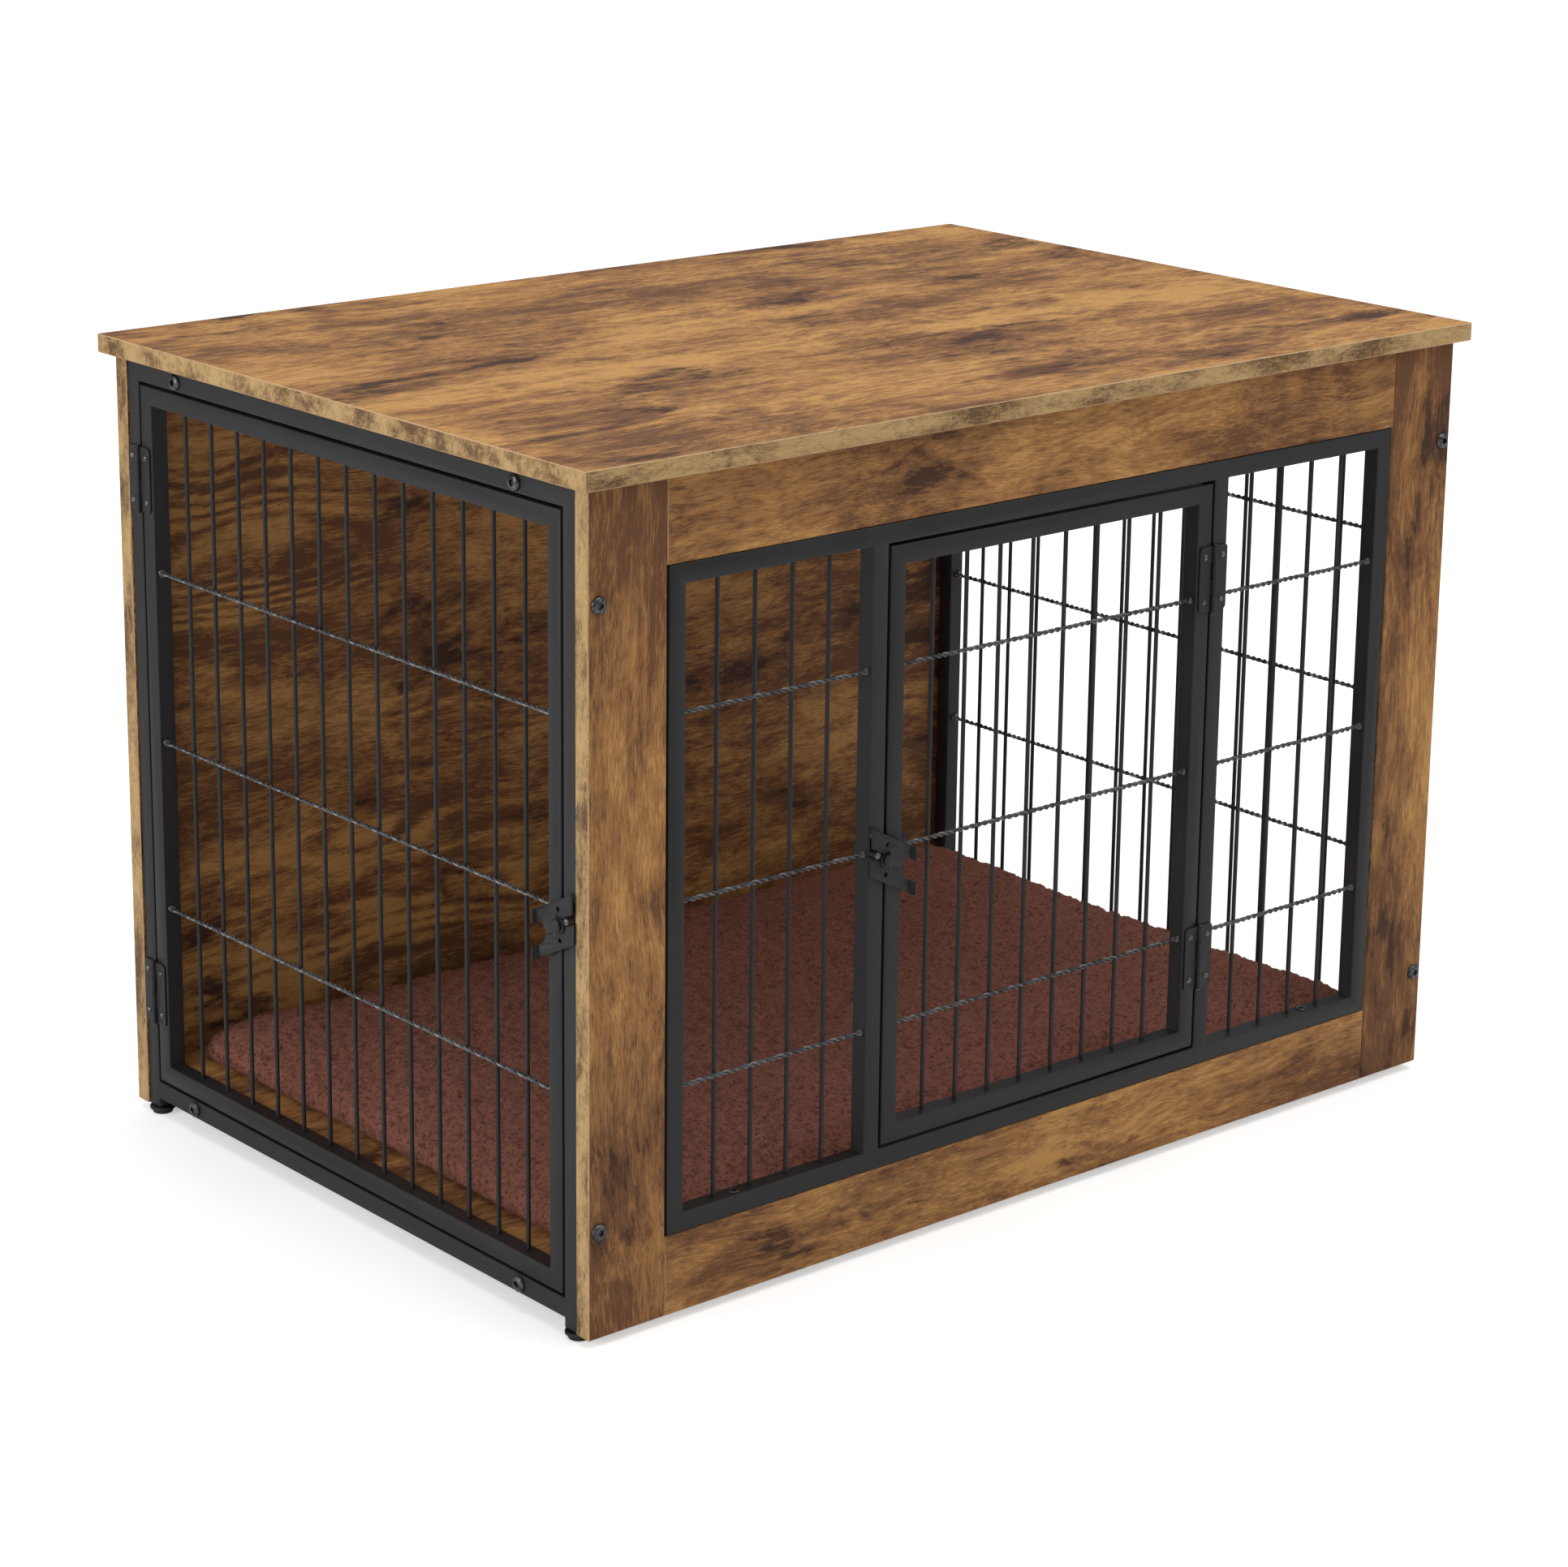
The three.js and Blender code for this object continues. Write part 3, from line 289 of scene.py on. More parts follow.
def start_geometry_tree(name, numbers, counts, objects, materials):
    """An empty Geometry Nodes tree with named inputs, and the sockets its nodes read from."""
    tree = bpy.data.node_groups.new(name, "GeometryNodeTree")
    tree.interface.new_socket(name="Geometry", in_out="INPUT", socket_type="NodeSocketGeometry")
    kinds = [("Float", numbers), ("Int", counts), ("Object", objects), ("Material", materials)]
    for kind, labels in kinds:
        for label in labels:
            tree.interface.new_socket(name=label, in_out="INPUT", socket_type=f"NodeSocket{kind}")
    tree.interface.new_socket(name="Geometry", in_out="OUTPUT", socket_type="NodeSocketGeometry")
    return tree, tree.nodes.new("NodeGroupInput").outputs


def end_geometry_tree(tree, geometry, material):
    """Closes a tree: instances made real, shaded smooth and given their material."""
    real = place_node(tree, "GeometryNodeRealizeInstances", {"Geometry": geometry}).outputs[0]
    smooth = place_node(tree, "GeometryNodeSetShadeSmooth", {"Geometry": real}).outputs[0]
    inputs = {"Geometry": smooth, "Material": material}
    coated = place_node(tree, "GeometryNodeSetMaterial", inputs).outputs[0]
    place_node(tree, "NodeGroupOutput", {"Geometry": coated})
    return tree


def join_geometry(tree, *parts):
    joined = tree.nodes.new("GeometryNodeJoinGeometry")
    for part in parts:
        tree.links.new(part, joined.inputs[0])
    return joined.outputs[0]


def finished_mesh(worker, name):
    """The plain mesh that a worker's modifiers make, with the worker gone."""
    depsgraph = bpy.context.evaluated_depsgraph_get()
    mesh = bpy.data.meshes.new_from_object(worker.evaluated_get(depsgraph), depsgraph=depsgraph)
    mesh.name = name
    bpy.data.objects.remove(worker)
    return mesh


def grown_mesh(name, tree, values, start_mesh=None):
    """The plain mesh that a tree makes from its values; nothing of the tree stays on it."""
    grower = linked_object(name, start_mesh or bpy.data.meshes.new(name))
    modifier = grower.modifiers.new(name, "NODES")
    modifier.node_group = tree
    for item in tree.interface.items_tree:
        if item.in_out == "INPUT" and item.name in values:
            modifier[item.identifier] = values[item.name]
    return finished_mesh(grower, name)


def centred_noise(tree, vector, scale, detail):
    """A vector of noise less its mean, so that it shifts a place equally to all sides."""
    inputs = {"Vector": vector, "Scale": scale, "Detail": detail}
    texture = place_node(tree, "ShaderNodeTexNoise", inputs).outputs["Color"]
    inputs = {0: texture, 1: (0.5, 0.5, 0.5)}
    return place_node(tree, "ShaderNodeVectorMath", inputs, operation="SUBTRACT").outputs[0]


def make_grille_tree():
    """Bars that stand along X and wires that cross them, each left out where its count is 0."""
    numbers = [
        "Width", "Height", "Bar diameter", "Bar depth", "Cross depth", "Cross pitch",
        "Strand diameter", "Twist pitch", "Weld radius",
    ]
    counts = ["Bars", "Cross wires", "Steps per twist"]
    tree, given = start_geometry_tree("Barred grille", numbers, counts, [], ["Coat"])

    def vector(x=0.0, y=0.0, z=0.0):
        return place_node(tree, "ShaderNodeCombineXYZ", {"X": x, "Y": y, "Z": z}).outputs[0]

    def half(value, sign=1):
        return math_result(tree, "MULTIPLY", value, sign * 0.5)

    def swept(curve, radius, sides):
        inputs = {"Resolution": sides, "Radius": radius}
        ring = place_node(tree, "GeometryNodeCurvePrimitiveCircle", inputs).outputs[0]
        inputs = {"Curve": curve, "Profile Curve": ring, "Fill Caps": True}
        return place_node(tree, "GeometryNodeCurveToMesh", inputs).outputs[0]

    def straight(start, end):
        inputs = {"Start": start, "End": end}
        return place_node(tree, "GeometryNodeCurvePrimitiveLine", inputs).outputs[0]

    def copies(count, first, step, part):
        inputs = {"Count": count, "Start Location": first, "Offset": step}
        line = place_node(tree, "GeometryNodeMeshLine", inputs).outputs[0]
        inputs = {"Points": line, "Instance": part}
        return place_node(tree, "GeometryNodeInstanceOnPoints", inputs).outputs[0]

    gaps = math_result(tree, "ADD", given["Bars"], 1)
    bar_gap = math_result(tree, "DIVIDE", given["Width"], gaps)
    first_bar = math_result(tree, "ADD", half(given["Width"], -1), bar_gap)
    bar_line = straight(vector(z=half(given["Height"], -1)), vector(z=half(given["Height"])))
    bar = swept(bar_line, half(given["Bar diameter"]), BAR_SIDES)
    bars = copies(given["Bars"], vector(first_bar, given["Bar depth"]), vector(bar_gap), bar)

    turns = math_result(tree, "DIVIDE", given["Width"], given["Twist pitch"])
    steps = math_result(tree, "MULTIPLY", turns, given["Steps per twist"])
    wire_line = straight(vector(half(given["Width"], -1)), vector(half(given["Width"])))
    inputs = {"Curve": wire_line, "Count": steps}
    points = place_node(tree, "GeometryNodeResampleCurve", inputs).outputs[0]
    position = place_node(tree, "GeometryNodeInputPosition").outputs[0]
    along = place_node(tree, "ShaderNodeSeparateXYZ", {0: position}).outputs["X"]
    turns_along = math_result(tree, "DIVIDE", along, given["Twist pitch"])
    turned = math_result(tree, "MULTIPLY", turns_along, 2 * pi)
    strands = []
    for phase in (0, pi):
        angle = math_result(tree, "ADD", turned, phase)
        reach = half(given["Strand diameter"])
        out = math_result(tree, "MULTIPLY", math_result(tree, "COSINE", angle), reach)
        up = math_result(tree, "MULTIPLY", math_result(tree, "SINE", angle), reach)
        inputs = {"Geometry": points, "Offset": vector(y=out, z=up)}
        twisted = place_node(tree, "GeometryNodeSetPosition", inputs).outputs[0]
        strands.append(swept(twisted, reach, STRAND_SIDES))

    inputs = {"Radius": given["Weld radius"], "Subdivisions": 3}
    bead = place_node(tree, "GeometryNodeMeshIcoSphere", inputs).outputs[0]
    beads = []
    for sign in (-1, 1):
        inputs = {"Geometry": bead, "Translation": vector(half(given["Width"], sign))}
        beads.append(place_node(tree, "GeometryNodeTransform", inputs).outputs[0])
    inputs = {0: centred_noise(tree, position, WELD_LUMP_SCALE, 1.0), "Scale": given["Weld radius"]}
    lumps = place_node(tree, "ShaderNodeVectorMath", inputs, operation="SCALE").outputs[0]
    inputs = {"Geometry": join_geometry(tree, *beads), "Offset": lumps}
    welds = place_node(tree, "GeometryNodeSetPosition", inputs).outputs[0]

    wire = join_geometry(tree, *strands, welds)
    wire_gaps = math_result(tree, "SUBTRACT", given["Cross wires"], 1)
    span = math_result(tree, "MULTIPLY", wire_gaps, given["Cross pitch"])
    lowest = vector(0.0, given["Cross depth"], half(span, -1))
    wires = copies(given["Cross wires"], lowest, vector(z=given["Cross pitch"]), wire)
    return end_geometry_tree(tree, join_geometry(tree, bars, wires), given["Coat"])


# the cross wires' coat, lightened with painted highlight
wire_coat = make_powder_coat("wire_coat_with_painted_glint", WIRE_SPECULAR, **WIRE_COAT_AND_PAINTED_GLINT)
grille_tree = make_grille_tree()
for node, (body, wall_turn) in GRILLE_WALLS.items():
    low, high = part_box(node)
    across = (high - low).y if wall_turn else (high - low).x
    depth = (high - low).x if wall_turn else (high - low).y
    in_wall = Matrix.Translation((low + high) / 2) @ Matrix.Rotation(radians(wall_turn), 4, "Z")
    values = {
        "Width": across,
        "Height": (high - low).z,
        "Bars": round(across / BAR_PITCH) - 1,
        "Bar diameter": BAR_DIAMETER,
        "Bar depth": (depth - BAR_DIAMETER) / 2,
        "Cross wires": CROSS_WIRES,
        "Cross depth": -(depth - BAR_DIAMETER) / 2,
        "Cross pitch": CROSS_PITCH,
        "Strand diameter": STRAND_DIAMETER,
        "Twist pitch": TWIST_PITCH,
        "Steps per twist": STEPS_PER_TWIST,
        "Weld radius": WELD_RADIUS,
    }
    parts = [("bars", "Cross wires", powder_coat), ("cross_wires", "Bars", wire_coat)]
    for part, left_out, coat in parts:
        name = f"{node}_{part}"
        part_mesh = grown_mesh(name, grille_tree, values | {left_out: 0, "Coat": coat})
        part_mesh.transform(in_wall)
        show_piece(name, part_mesh, body, [], [node], smooth=50)


# ---- Wood panels ----
# The tabletop, the floor, the back and the front's stiles and rails are particle board under a
# rustic brown laminate, with a lighter printed band glued round their edges.

BOARD_CHAMFER = 0.7 * MM
SQUARE_ENOUGH = 0.99
HONEY = (0.590, 0.315, 0.105, 1)
TAWNY = (0.370, 0.178, 0.064, 1)
UMBER = (0.165, 0.073, 0.034, 1)
SMOKE = (0.056, 0.026, 0.017, 1)
PALE_ARRIS = (0.62, 0.40, 0.22, 1)
LAMINATE_SPECULAR = 0.12
LAMINATE_BUMP = (0.4, 0.08 * MM)
LEVEL_GRAIN = (0, 0, 0)
RAIL_GRAIN = (-90, 0, 0)
STILE_GRAIN = (90, 0, 90)
BAND_LOOK = {
    "light": (0.58, 0.385, 0.175, 1),
    "middle": (0.40, 0.252, 0.115, 1),
    "dark": (0.16, 0.092, 0.044, 1),
    "fineness": 4,
    "tone": 0.55,
    "contrast": 1.2,
    "smoke_amount": 0.1,
    "ring_amount": 0.0,
}
ARRIS_LOOK = {
    "light": PALE_ARRIS,
    "middle": PALE_ARRIS,
    "dark": (0.42, 0.26, 0.13, 1),
    "smoke_amount": 0.1,
    "ring_amount": 0.0,
}


def make_laminate_group():
    """Printed wood grain that runs along the place's X, with smoky patches over it."""
    colors = [("Light", HONEY), ("Middle", TAWNY), ("Dark", UMBER), ("Smoke", SMOKE)]
    amounts = [("Tone", 0.45), ("Contrast", 1.15), ("Smoke amount", 1.0), ("Ring amount", 0.5)]
    inputs = [("Place", "Vector", (0, 0, 0))]
    inputs += [(label, "Color", value) for label, value in colors]
    inputs += [(label, "Float", value) for label, value in amounts]
    group, given = start_group("Rustic laminate", inputs)

    def grain(vector, along, across, detail, roughness, distortion=0.0):
        """Noise drawn out along the grain, less its mean; scales are features in a metre."""
        inputs = {"Vector": vector, "Scale": (along, across, across)}
        drawn_out = place_node(group, "ShaderNodeMapping", inputs).outputs[0]
        layer = fine_noise(group, drawn_out, 1, detail, roughness, distortion)
        return math_result(group, "SUBTRACT", layer, 0.5)

    def multiplied(first, *others):
        for other in others:
            first = math_result(group, "MULTIPLY", first, other)
        return first

    def add_up(start, *weighted):
        total = start
        for weight, value in weighted:
            total = math_result(group, "MULTIPLY_ADD", value, weight, total)
        return total

    # the grain wanders: the place is shifted by a slow drift, most of all along X
    drift = centred_noise(group, given["Place"], 3.5, 3.0)
    inputs = {0: drift, 1: (0.12, 0.05, 0.05), 2: given["Place"]}
    waved = place_node(group, "ShaderNodeVectorMath", inputs, operation="MULTIPLY_ADD").outputs[0]

    # layers from the broadest to the finest
    plank = grain(waved, 3.4, 9, 3, 0.55)
    bands = grain(waved, 8, 40, 5, 0.66)
    mottle = grain(waved, 12, 25, 6, 0.68, 0.5)
    flecks = grain(waved, 50, 110, 4, 0.7, 0.4)
    streaks = grain(waved, 22, 260, 4, 0.7)
    fibres = grain(waved, 70, 900, 3, 0.7)
    pores = ramp_between(group, grain(waved, 60, 700, 2, 0.6), 0.09, 0.2)

    # growth rings are the level lines of a slow field, and show in some zones only
    field = grain(waved, 1.6, 7, 2, 0.4)
    ring_lines = math_result(group, "SINE", multiplied(field, 190))
    ring_zone = ramp_between(group, grain(waved, 3, 9, 2, 0.5), -0.04, 0.10)
    rings = multiplied(ring_lines, ring_zone, given["Ring amount"])

    spread = add_up(
        0.0, (2.4, plank), (1.2, bands), (1.5, mottle), (1.0, flecks), (1.1, streaks), (1.9, fibres),
        (-0.22, rings),
    )
    tone = math_result(group, "MULTIPLY_ADD", spread, given["Contrast"], given["Tone"])
    cloud = grain(waved, 6.5, 15, 6, 0.6, 0.4)
    torn = add_up(
        cloud, (-0.35, bands), (-0.22, streaks), (-0.25, flecks), (-0.3, mottle), (-0.35, plank),
    )
    haze = multiplied(ramp_between(group, torn, -0.02, 0.15), given["Smoke amount"], 0.55)
    smoke = multiplied(ramp_between(group, torn, 0.105, 0.19), given["Smoke amount"], 0.85)

    lifted = ramp_between(group, tone, -0.05, 0.5)
    color = blend_colors(group, lifted, given["Dark"], given["Middle"])
    color = blend_colors(group, ramp_between(group, tone, 0.42, 1.0), color, given["Light"])
    color = blend_colors(group, haze, color, given["Dark"])
    color = blend_colors(group, smoke, color, given["Smoke"])
    color = blend_colors(group, multiplied(pores, 0.45), color, given["Dark"])

    roughness = math_result(group, "MULTIPLY_ADD", streaks, 0.5, 0.5)
    dents = math_result(group, "MULTIPLY_ADD", pores, -0.7, multiplied(streaks, 0.8))
    return end_group(group, color, roughness, dents)


laminate_group = make_laminate_group()


def make_laminate(name, turn, shift=(0, 0, 0), fineness=1, **values):
    """A laminate whose grain follows one axis: turn carries that axis to X."""
    material, tree, shader, place = start_material(name)
    rotation = [radians(angle) for angle in turn]
    inputs = {"Vector": place, "Rotation": rotation, "Location": shift, "Scale": [fineness] * 3}
    placed = place_node(tree, "ShaderNodeMapping", inputs).outputs[0]
    apply_group(tree, shader, laminate_group, placed, values, LAMINATE_SPECULAR, LAMINATE_BUMP)
    return material


top_laminate = make_laminate("tabletop_laminate", LEVEL_GRAIN)
rail_laminate = make_laminate(
    "rail_laminate", RAIL_GRAIN, shift=(0.4, 0.2, 0), tone=0.36, contrast=0.85,
)
stile_laminate = make_laminate(
    "stile_laminate", STILE_GRAIN, shift=(0.1, 0.7, 0), tone=0.22, contrast=0.85,
)
back_laminate = make_laminate(
    "back_panel_laminate", RAIL_GRAIN, shift=(1.2, 0.5, 0), ring_amount=1.6,
)
long_edge_band = make_laminate("long_edge_band", LEVEL_GRAIN, **BAND_LOOK)
upright_edge_band = make_laminate("upright_edge_band", STILE_GRAIN, **BAND_LOOK)
arris = make_laminate("band_glue_line", LEVEL_GRAIN, **ARRIS_LOOK)


def finish_board(node, face, band):
    """A board with chamfered edges: laminate on its faces, band round it, a pale line outside."""
    mesh = softened_copy(node, f"{node}_board", BOARD_CHAMFER, LEAST_ROUNDED_EDGE, 1)
    low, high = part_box(node)
    size = high - low
    thin = min(range(3), key=lambda axis: size[axis])
    outer_end = max(abs(low.x), abs(high.x))
    surfaces = [face, band, arris]
    show_piece(f"{node}_board", mesh, "cabinet", surfaces, [node])
    for polygon in mesh.polygons:
        facing = max(range(3), key=lambda axis: abs(polygon.normal[axis]))
        square = abs(polygon.normal[facing]) > SQUARE_ENOUGH
        lies_level = size[thin] == size.z
        at_outer_end = abs(polygon.center.x) > outer_end - MM
        if square and facing != thin:
            polygon.material_index = surfaces.index(band)
        elif not square and (lies_level or at_outer_end):
            polygon.material_index = surfaces.index(arris)


finish_board("tabletop", top_laminate, long_edge_band)
finish_board("floor_board", top_laminate, long_edge_band)
finish_board("back_panel", back_laminate, upright_edge_band)
for node in ("front_left_stile", "front_right_stile"):
    finish_board(node, stile_laminate, upright_edge_band)
for node in ("front_top_rail", "front_bottom_rail"):
    finish_board(node, rail_laminate, long_edge_band)


# ---- Bolts and screws ----
# Button-head bolts with a hex socket, black zinc plated, hold the front and back panels to the
# side frames' posts, and the side frames to the angles behind them. Four small screws go through
# the front frame's top and bottom tubes into the rails.

# head profiles are radius and height over the seat, in millimetres
BOLT_PROFILE = [
    (0, -6), (3, -6), (3, 0.3), (6.3, 0.3), (6.5, 0.5), (6.5, 1.1), (6.1, 1.9), (5.3, 2.6),
    (4.3, 3.1), (3.2, 3.3), (2.55, 3.3), (2.3, 3.1), (2.3, 1.3), (0, 1.0),
]
BOLT_SOCKET_RINGS = (10, 11, 12)
BOLT_HEAD_HEIGHT = 3.3 * MM
SCREW_PROFILE = [
    (0, -0.8), (4.4, -0.8), (4.6, -0.2), (4.6, 0.5), (4.2, 1.0), (3.2, 1.25), (2.3, 1.25),
    (2.15, 1.1), (2.15, 0.5), (0, 0.4),
]
SCREW_SOCKET_RINGS = (6, 7, 8)
SCREW_REACH = 309 * MM
TUBE_SIZE = 15 * MM
ZINC_DARK = (0.045, 0.045, 0.048, 1)
ZINC_LIGHT = (0.16, 0.16, 0.165, 1)
ZINC_SCRATCHES = (1900, 2, 0.6, 1.5)
WAYS = {"front": Vector((0, -1, 0)), "left": Vector((-1, 0, 0)), "right": Vector((1, 0, 0))}


def make_clouded(name, scale, colors, roughness, bump, relief=None, metallic=0.0, least=0.3):
    """A finish that drifts between two colours and two roughnesses, with a fine relief."""
    material, tree, shader, place = start_material(name)
    cloud = ramp_between(tree, fine_noise(tree, place, scale, 3), least, 0.7)
    fill_inputs(tree, shader, {
        "Base Color": blend_colors(tree, cloud, *colors),
        "Roughness": ramp_between(tree, cloud, 0, 1, *roughness),
        "Metallic": metallic,
    })
    height = fine_noise(tree, place, *relief) if relief else cloud
    add_bump(tree, shader, height, *bump)
    return material


def turned_mesh(name, profile, segments, hex_rings=()):
    """A closed turned form about z from a profile in millimetres; hex_rings are a key socket's."""
    shell = bmesh.new()
    rings = []
    for index, (radius, z) in enumerate(profile):
        ring = []
        for step in range(segments if radius > 0 else 1):
            angle = 2 * pi * step / segments
            corner = (angle + pi / 6) % (pi / 3) - pi / 6
            reach = radius * MM / (cos(corner) if index in hex_rings else 1)
            ring.append(shell.verts.new((reach * cos(angle), reach * sin(angle), z * MM)))
        rings.append(ring)
    for low_ring, high_ring in zip(rings, rings[1:]):
        for step in range(segments):
            following = (step + 1) % segments
            corners = []
            for ring, order in ((low_ring, (step, following)), (high_ring, (following, step))):
                corners += [ring[0]] if len(ring) == 1 else [ring[place] for place in order]
            shell.faces.new(corners)
    bmesh.ops.recalc_face_normals(shell, faces=shell.faces)
    return mesh_of(shell, name)


def make_fastener_tree():
    """Sets a head on each point of a mesh, turned by the point's own facing."""
    tree, given = start_geometry_tree("Heads on points", [], [], ["Head"], ["Finish"])
    inputs = {"Object": given["Head"]}
    head = place_node(tree, "GeometryNodeObjectInfo", inputs).outputs["Geometry"]
    inputs = {"Name": "facing"}
    facing = place_node(tree, "GeometryNodeInputNamedAttribute", inputs, data_type="FLOAT_VECTOR")
    inputs = {
        "Points": given["Geometry"], "Instance": head, "Rotation": facing.outputs["Attribute"],
    }
    heads = place_node(tree, "GeometryNodeInstanceOnPoints", inputs).outputs[0]
    return end_geometry_tree(tree, heads, given["Finish"])


def set_heads(name, head_mesh, spots, body, finish, replaced=()):
    """One head at each spot, given as its seat's place and the way it faces."""
    seats = bpy.data.meshes.new(f"{name}_seats")
    seats.from_pydata([tuple(place) for place, _ in spots], [], [])
    facing = seats.attributes.new("facing", "FLOAT_VECTOR", "POINT")
    for index, (_, way) in enumerate(spots):
        facing.data[index].vector = Vector(way).to_track_quat("Z", "Y").to_euler()
    head = bpy.data.objects.new(f"{name}_head", head_mesh)
    mesh = grown_mesh(name, fastener_tree, {"Head": head, "Finish": finish}, seats)
    bpy.data.objects.remove(head)
    show_piece(name, mesh, body, [], replaced)


def face_middle(node, way, depth=0.0):
    """The middle of the face of a node's box toward way, moved inward by a depth."""
    low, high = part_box(node)
    spot = (low + high) / 2
    for axis in range(3):
        if way[axis]:
            face = high[axis] if way[axis] > 0 else low[axis]
            spot[axis] = face - way[axis] * depth
    return spot


black_zinc = make_clouded(
    "black_zinc", 320, (ZINC_DARK, ZINC_LIGHT), (0.26, 0.4), (0.2, 0.03 * MM), ZINC_SCRATCHES, 0.9,
)
fastener_tree = make_fastener_tree()
bolt_head = turned_mesh("button_head", BOLT_PROFILE, 36, BOLT_SOCKET_RINGS)
bolt_nodes = sorted(name for name in frame["nodes"] if name.endswith("_bolt"))
bolt_spots = []
for node in bolt_nodes:
    way = WAYS[node.split("_")[0]]
    bolt_spots.append((face_middle(node, way, BOLT_HEAD_HEIGHT), way))
set_heads("panel_and_frame_bolts", bolt_head, bolt_spots, "cabinet", black_zinc, bolt_nodes)

back_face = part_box("back_panel")[1].y
back_spots = [
    ((place.x, back_face, place.z), (0, 1, 0)) for place, way in bolt_spots if way == WAYS["front"]
]
set_heads("back_panel_bolts", bolt_head, back_spots, "cabinet", black_zinc)

screw_head = turned_mesh("pan_head", SCREW_PROFILE, 30, SCREW_SOCKET_RINGS)
frame_low, frame_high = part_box("front_frame")
tube_middle = frame_low.y + TUBE_SIZE / 2
screw_spots = []
for reach in (-SCREW_REACH, SCREW_REACH):
    screw_spots.append(((reach, tube_middle, frame_low.z + TUBE_SIZE), (0, 0, 1)))
    screw_spots.append(((reach, tube_middle, frame_high.z - TUBE_SIZE), (0, 0, -1)))
set_heads("front_frame_screws", screw_head, screw_spots, "cabinet", black_zinc)


# ---- Angles ----
# Bent steel angles inside the side frames carry the floor board and hold the tabletop down. They
# keep the solids' own form, and get the frames' powder coat.


def recoat(node, material):
    coats = frame["nodes"][node].data.materials
    coats.clear()
    coats.append(material)


for node in frame["nodes"]:
    if node.endswith("_angle"):
        recoat(node, powder_coat)


# ---- Door hinges ----
# Two butt hinges carry each door: a folded leaf riveted to the door's stile and another to the
# post, their knuckles turning on one pin.

LEAF_ARRIS = 0.3 * MM
LEAF_GAUGE = 1.2 * MM
LEAF_RIVET_REACH = 9.6 * MM
LEAF_RIVET_INSET = 8.5 * MM
RIVET_PROFILE = [
    (0, -0.4), (2.6, -0.4), (2.7, 0), (2.6, 0.4), (2.1, 0.9), (1.3, 1.25), (0.5, 1.4), (0, 1.42),
]
RIVET_DARK = (0.06, 0.06, 0.061, 1)
RIVET_LIGHT = (0.20, 0.20, 0.202, 1)

rivet_dome = turned_mesh("rivet_dome", RIVET_PROFILE, 24)
rivet_black = make_clouded(
    "black_rivet", 420, (RIVET_DARK, RIVET_LIGHT), (0.2, 0.36), (0.3, 0.06 * MM), metallic=0.7,
)
node_bodies = {
    node: body for body, nodes in frame["record"]["behaviour"]["bodies"].items() for node in nodes
}


def leaf_rivet_spots(node):
    """Where a leaf's two rivets sit: on its outer face, on the side of the pin that it covers."""
    low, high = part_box(node)
    pin_low, pin_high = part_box(node.replace("_fixed_leaf", "_pin").replace("_door_leaf", "_pin"))
    pin = (pin_low + pin_high) / 2
    on_front = node.startswith("front_")
    across, out = (0, 1) if on_front else (1, 0)
    away = 1 if high[across] - pin[across] > pin[across] - low[across] else -1
    spots = []
    for level in (low.z + LEAF_RIVET_INSET, high.z - LEAF_RIVET_INSET):
        spot = Vector((0, 0, level))
        spot[across] = pin[across] + away * LEAF_RIVET_REACH
        spot[out] = high[out] - LEAF_GAUGE
        spots.append((spot, WAYS["front" if on_front else "left"]))
    return spots


for node in sorted(frame["nodes"]):
    if node.endswith("_hinge_pin"):
        recoat(node, black_zinc)
    elif node.endswith("_leaf"):
        body = node_bodies[node]
        leaf_mesh = softened_copy(node, f"{node}_folded", LEAF_ARRIS, LEAST_ROUNDED_EDGE, 2)
        show_piece(
            f"{node}_folded", leaf_mesh, body, [powder_coat], [node], smooth=40,
        )
        set_heads(f"{node}_rivets", rivet_dome, leaf_rivet_spots(node), body, rivet_black)


# ---- Pinch latches ----
# Two stamped steel levers turn on a stud at the door's edge, and a spring holds their jaws shut
# round a pin that is riveted to the post. The spring is cut at its coil's middle into an upper and a
# lower leg, and neither leg rides on a lever.

STAMPING_ARRIS = 0.3 * MM
LEAST_STAMPED_EDGE = 3 * MM
STAMPED_ENDINGS = ("_latch_upper_lever", "_latch_lower_lever", "_latch_pivot", "_latch_keeper")
KEEPER_RIVET_SPACING = 29 * MM
KEEPER_STRAP_FACE = 1 * MM
SPRING_MERGE_DISTANCE = 0.005 * MM


def half_spring(node, middle, sign):
    """The part of a spring above or below its coil's middle, with its cut ends closed."""
    shell = merged_shell(node, SPRING_MERGE_DISTANCE)
    parted = bmesh.ops.bisect_plane(
        shell, geom=shell.verts[:] + shell.edges[:] + shell.faces[:], plane_co=middle,
        plane_no=(0, 0, sign), clear_inner=True,
    )
    rims = [item for item in parted["geom_cut"] if isinstance(item, bmesh.types.BMEdge)]
    bmesh.ops.edgeloop_fill(shell, edges=rims)
    bmesh.ops.recalc_face_normals(shell, faces=shell.faces)
    return mesh_of(shell, node)


for node in sorted(frame["nodes"]):
    if node.endswith(STAMPED_ENDINGS):
        stamped = softened_copy(node, f"{node}_stamped", STAMPING_ARRIS, LEAST_STAMPED_EDGE, 2)
        show_piece(
            f"{node}_stamped", stamped, node_bodies[node], [powder_coat], [node], smooth=40,
        )

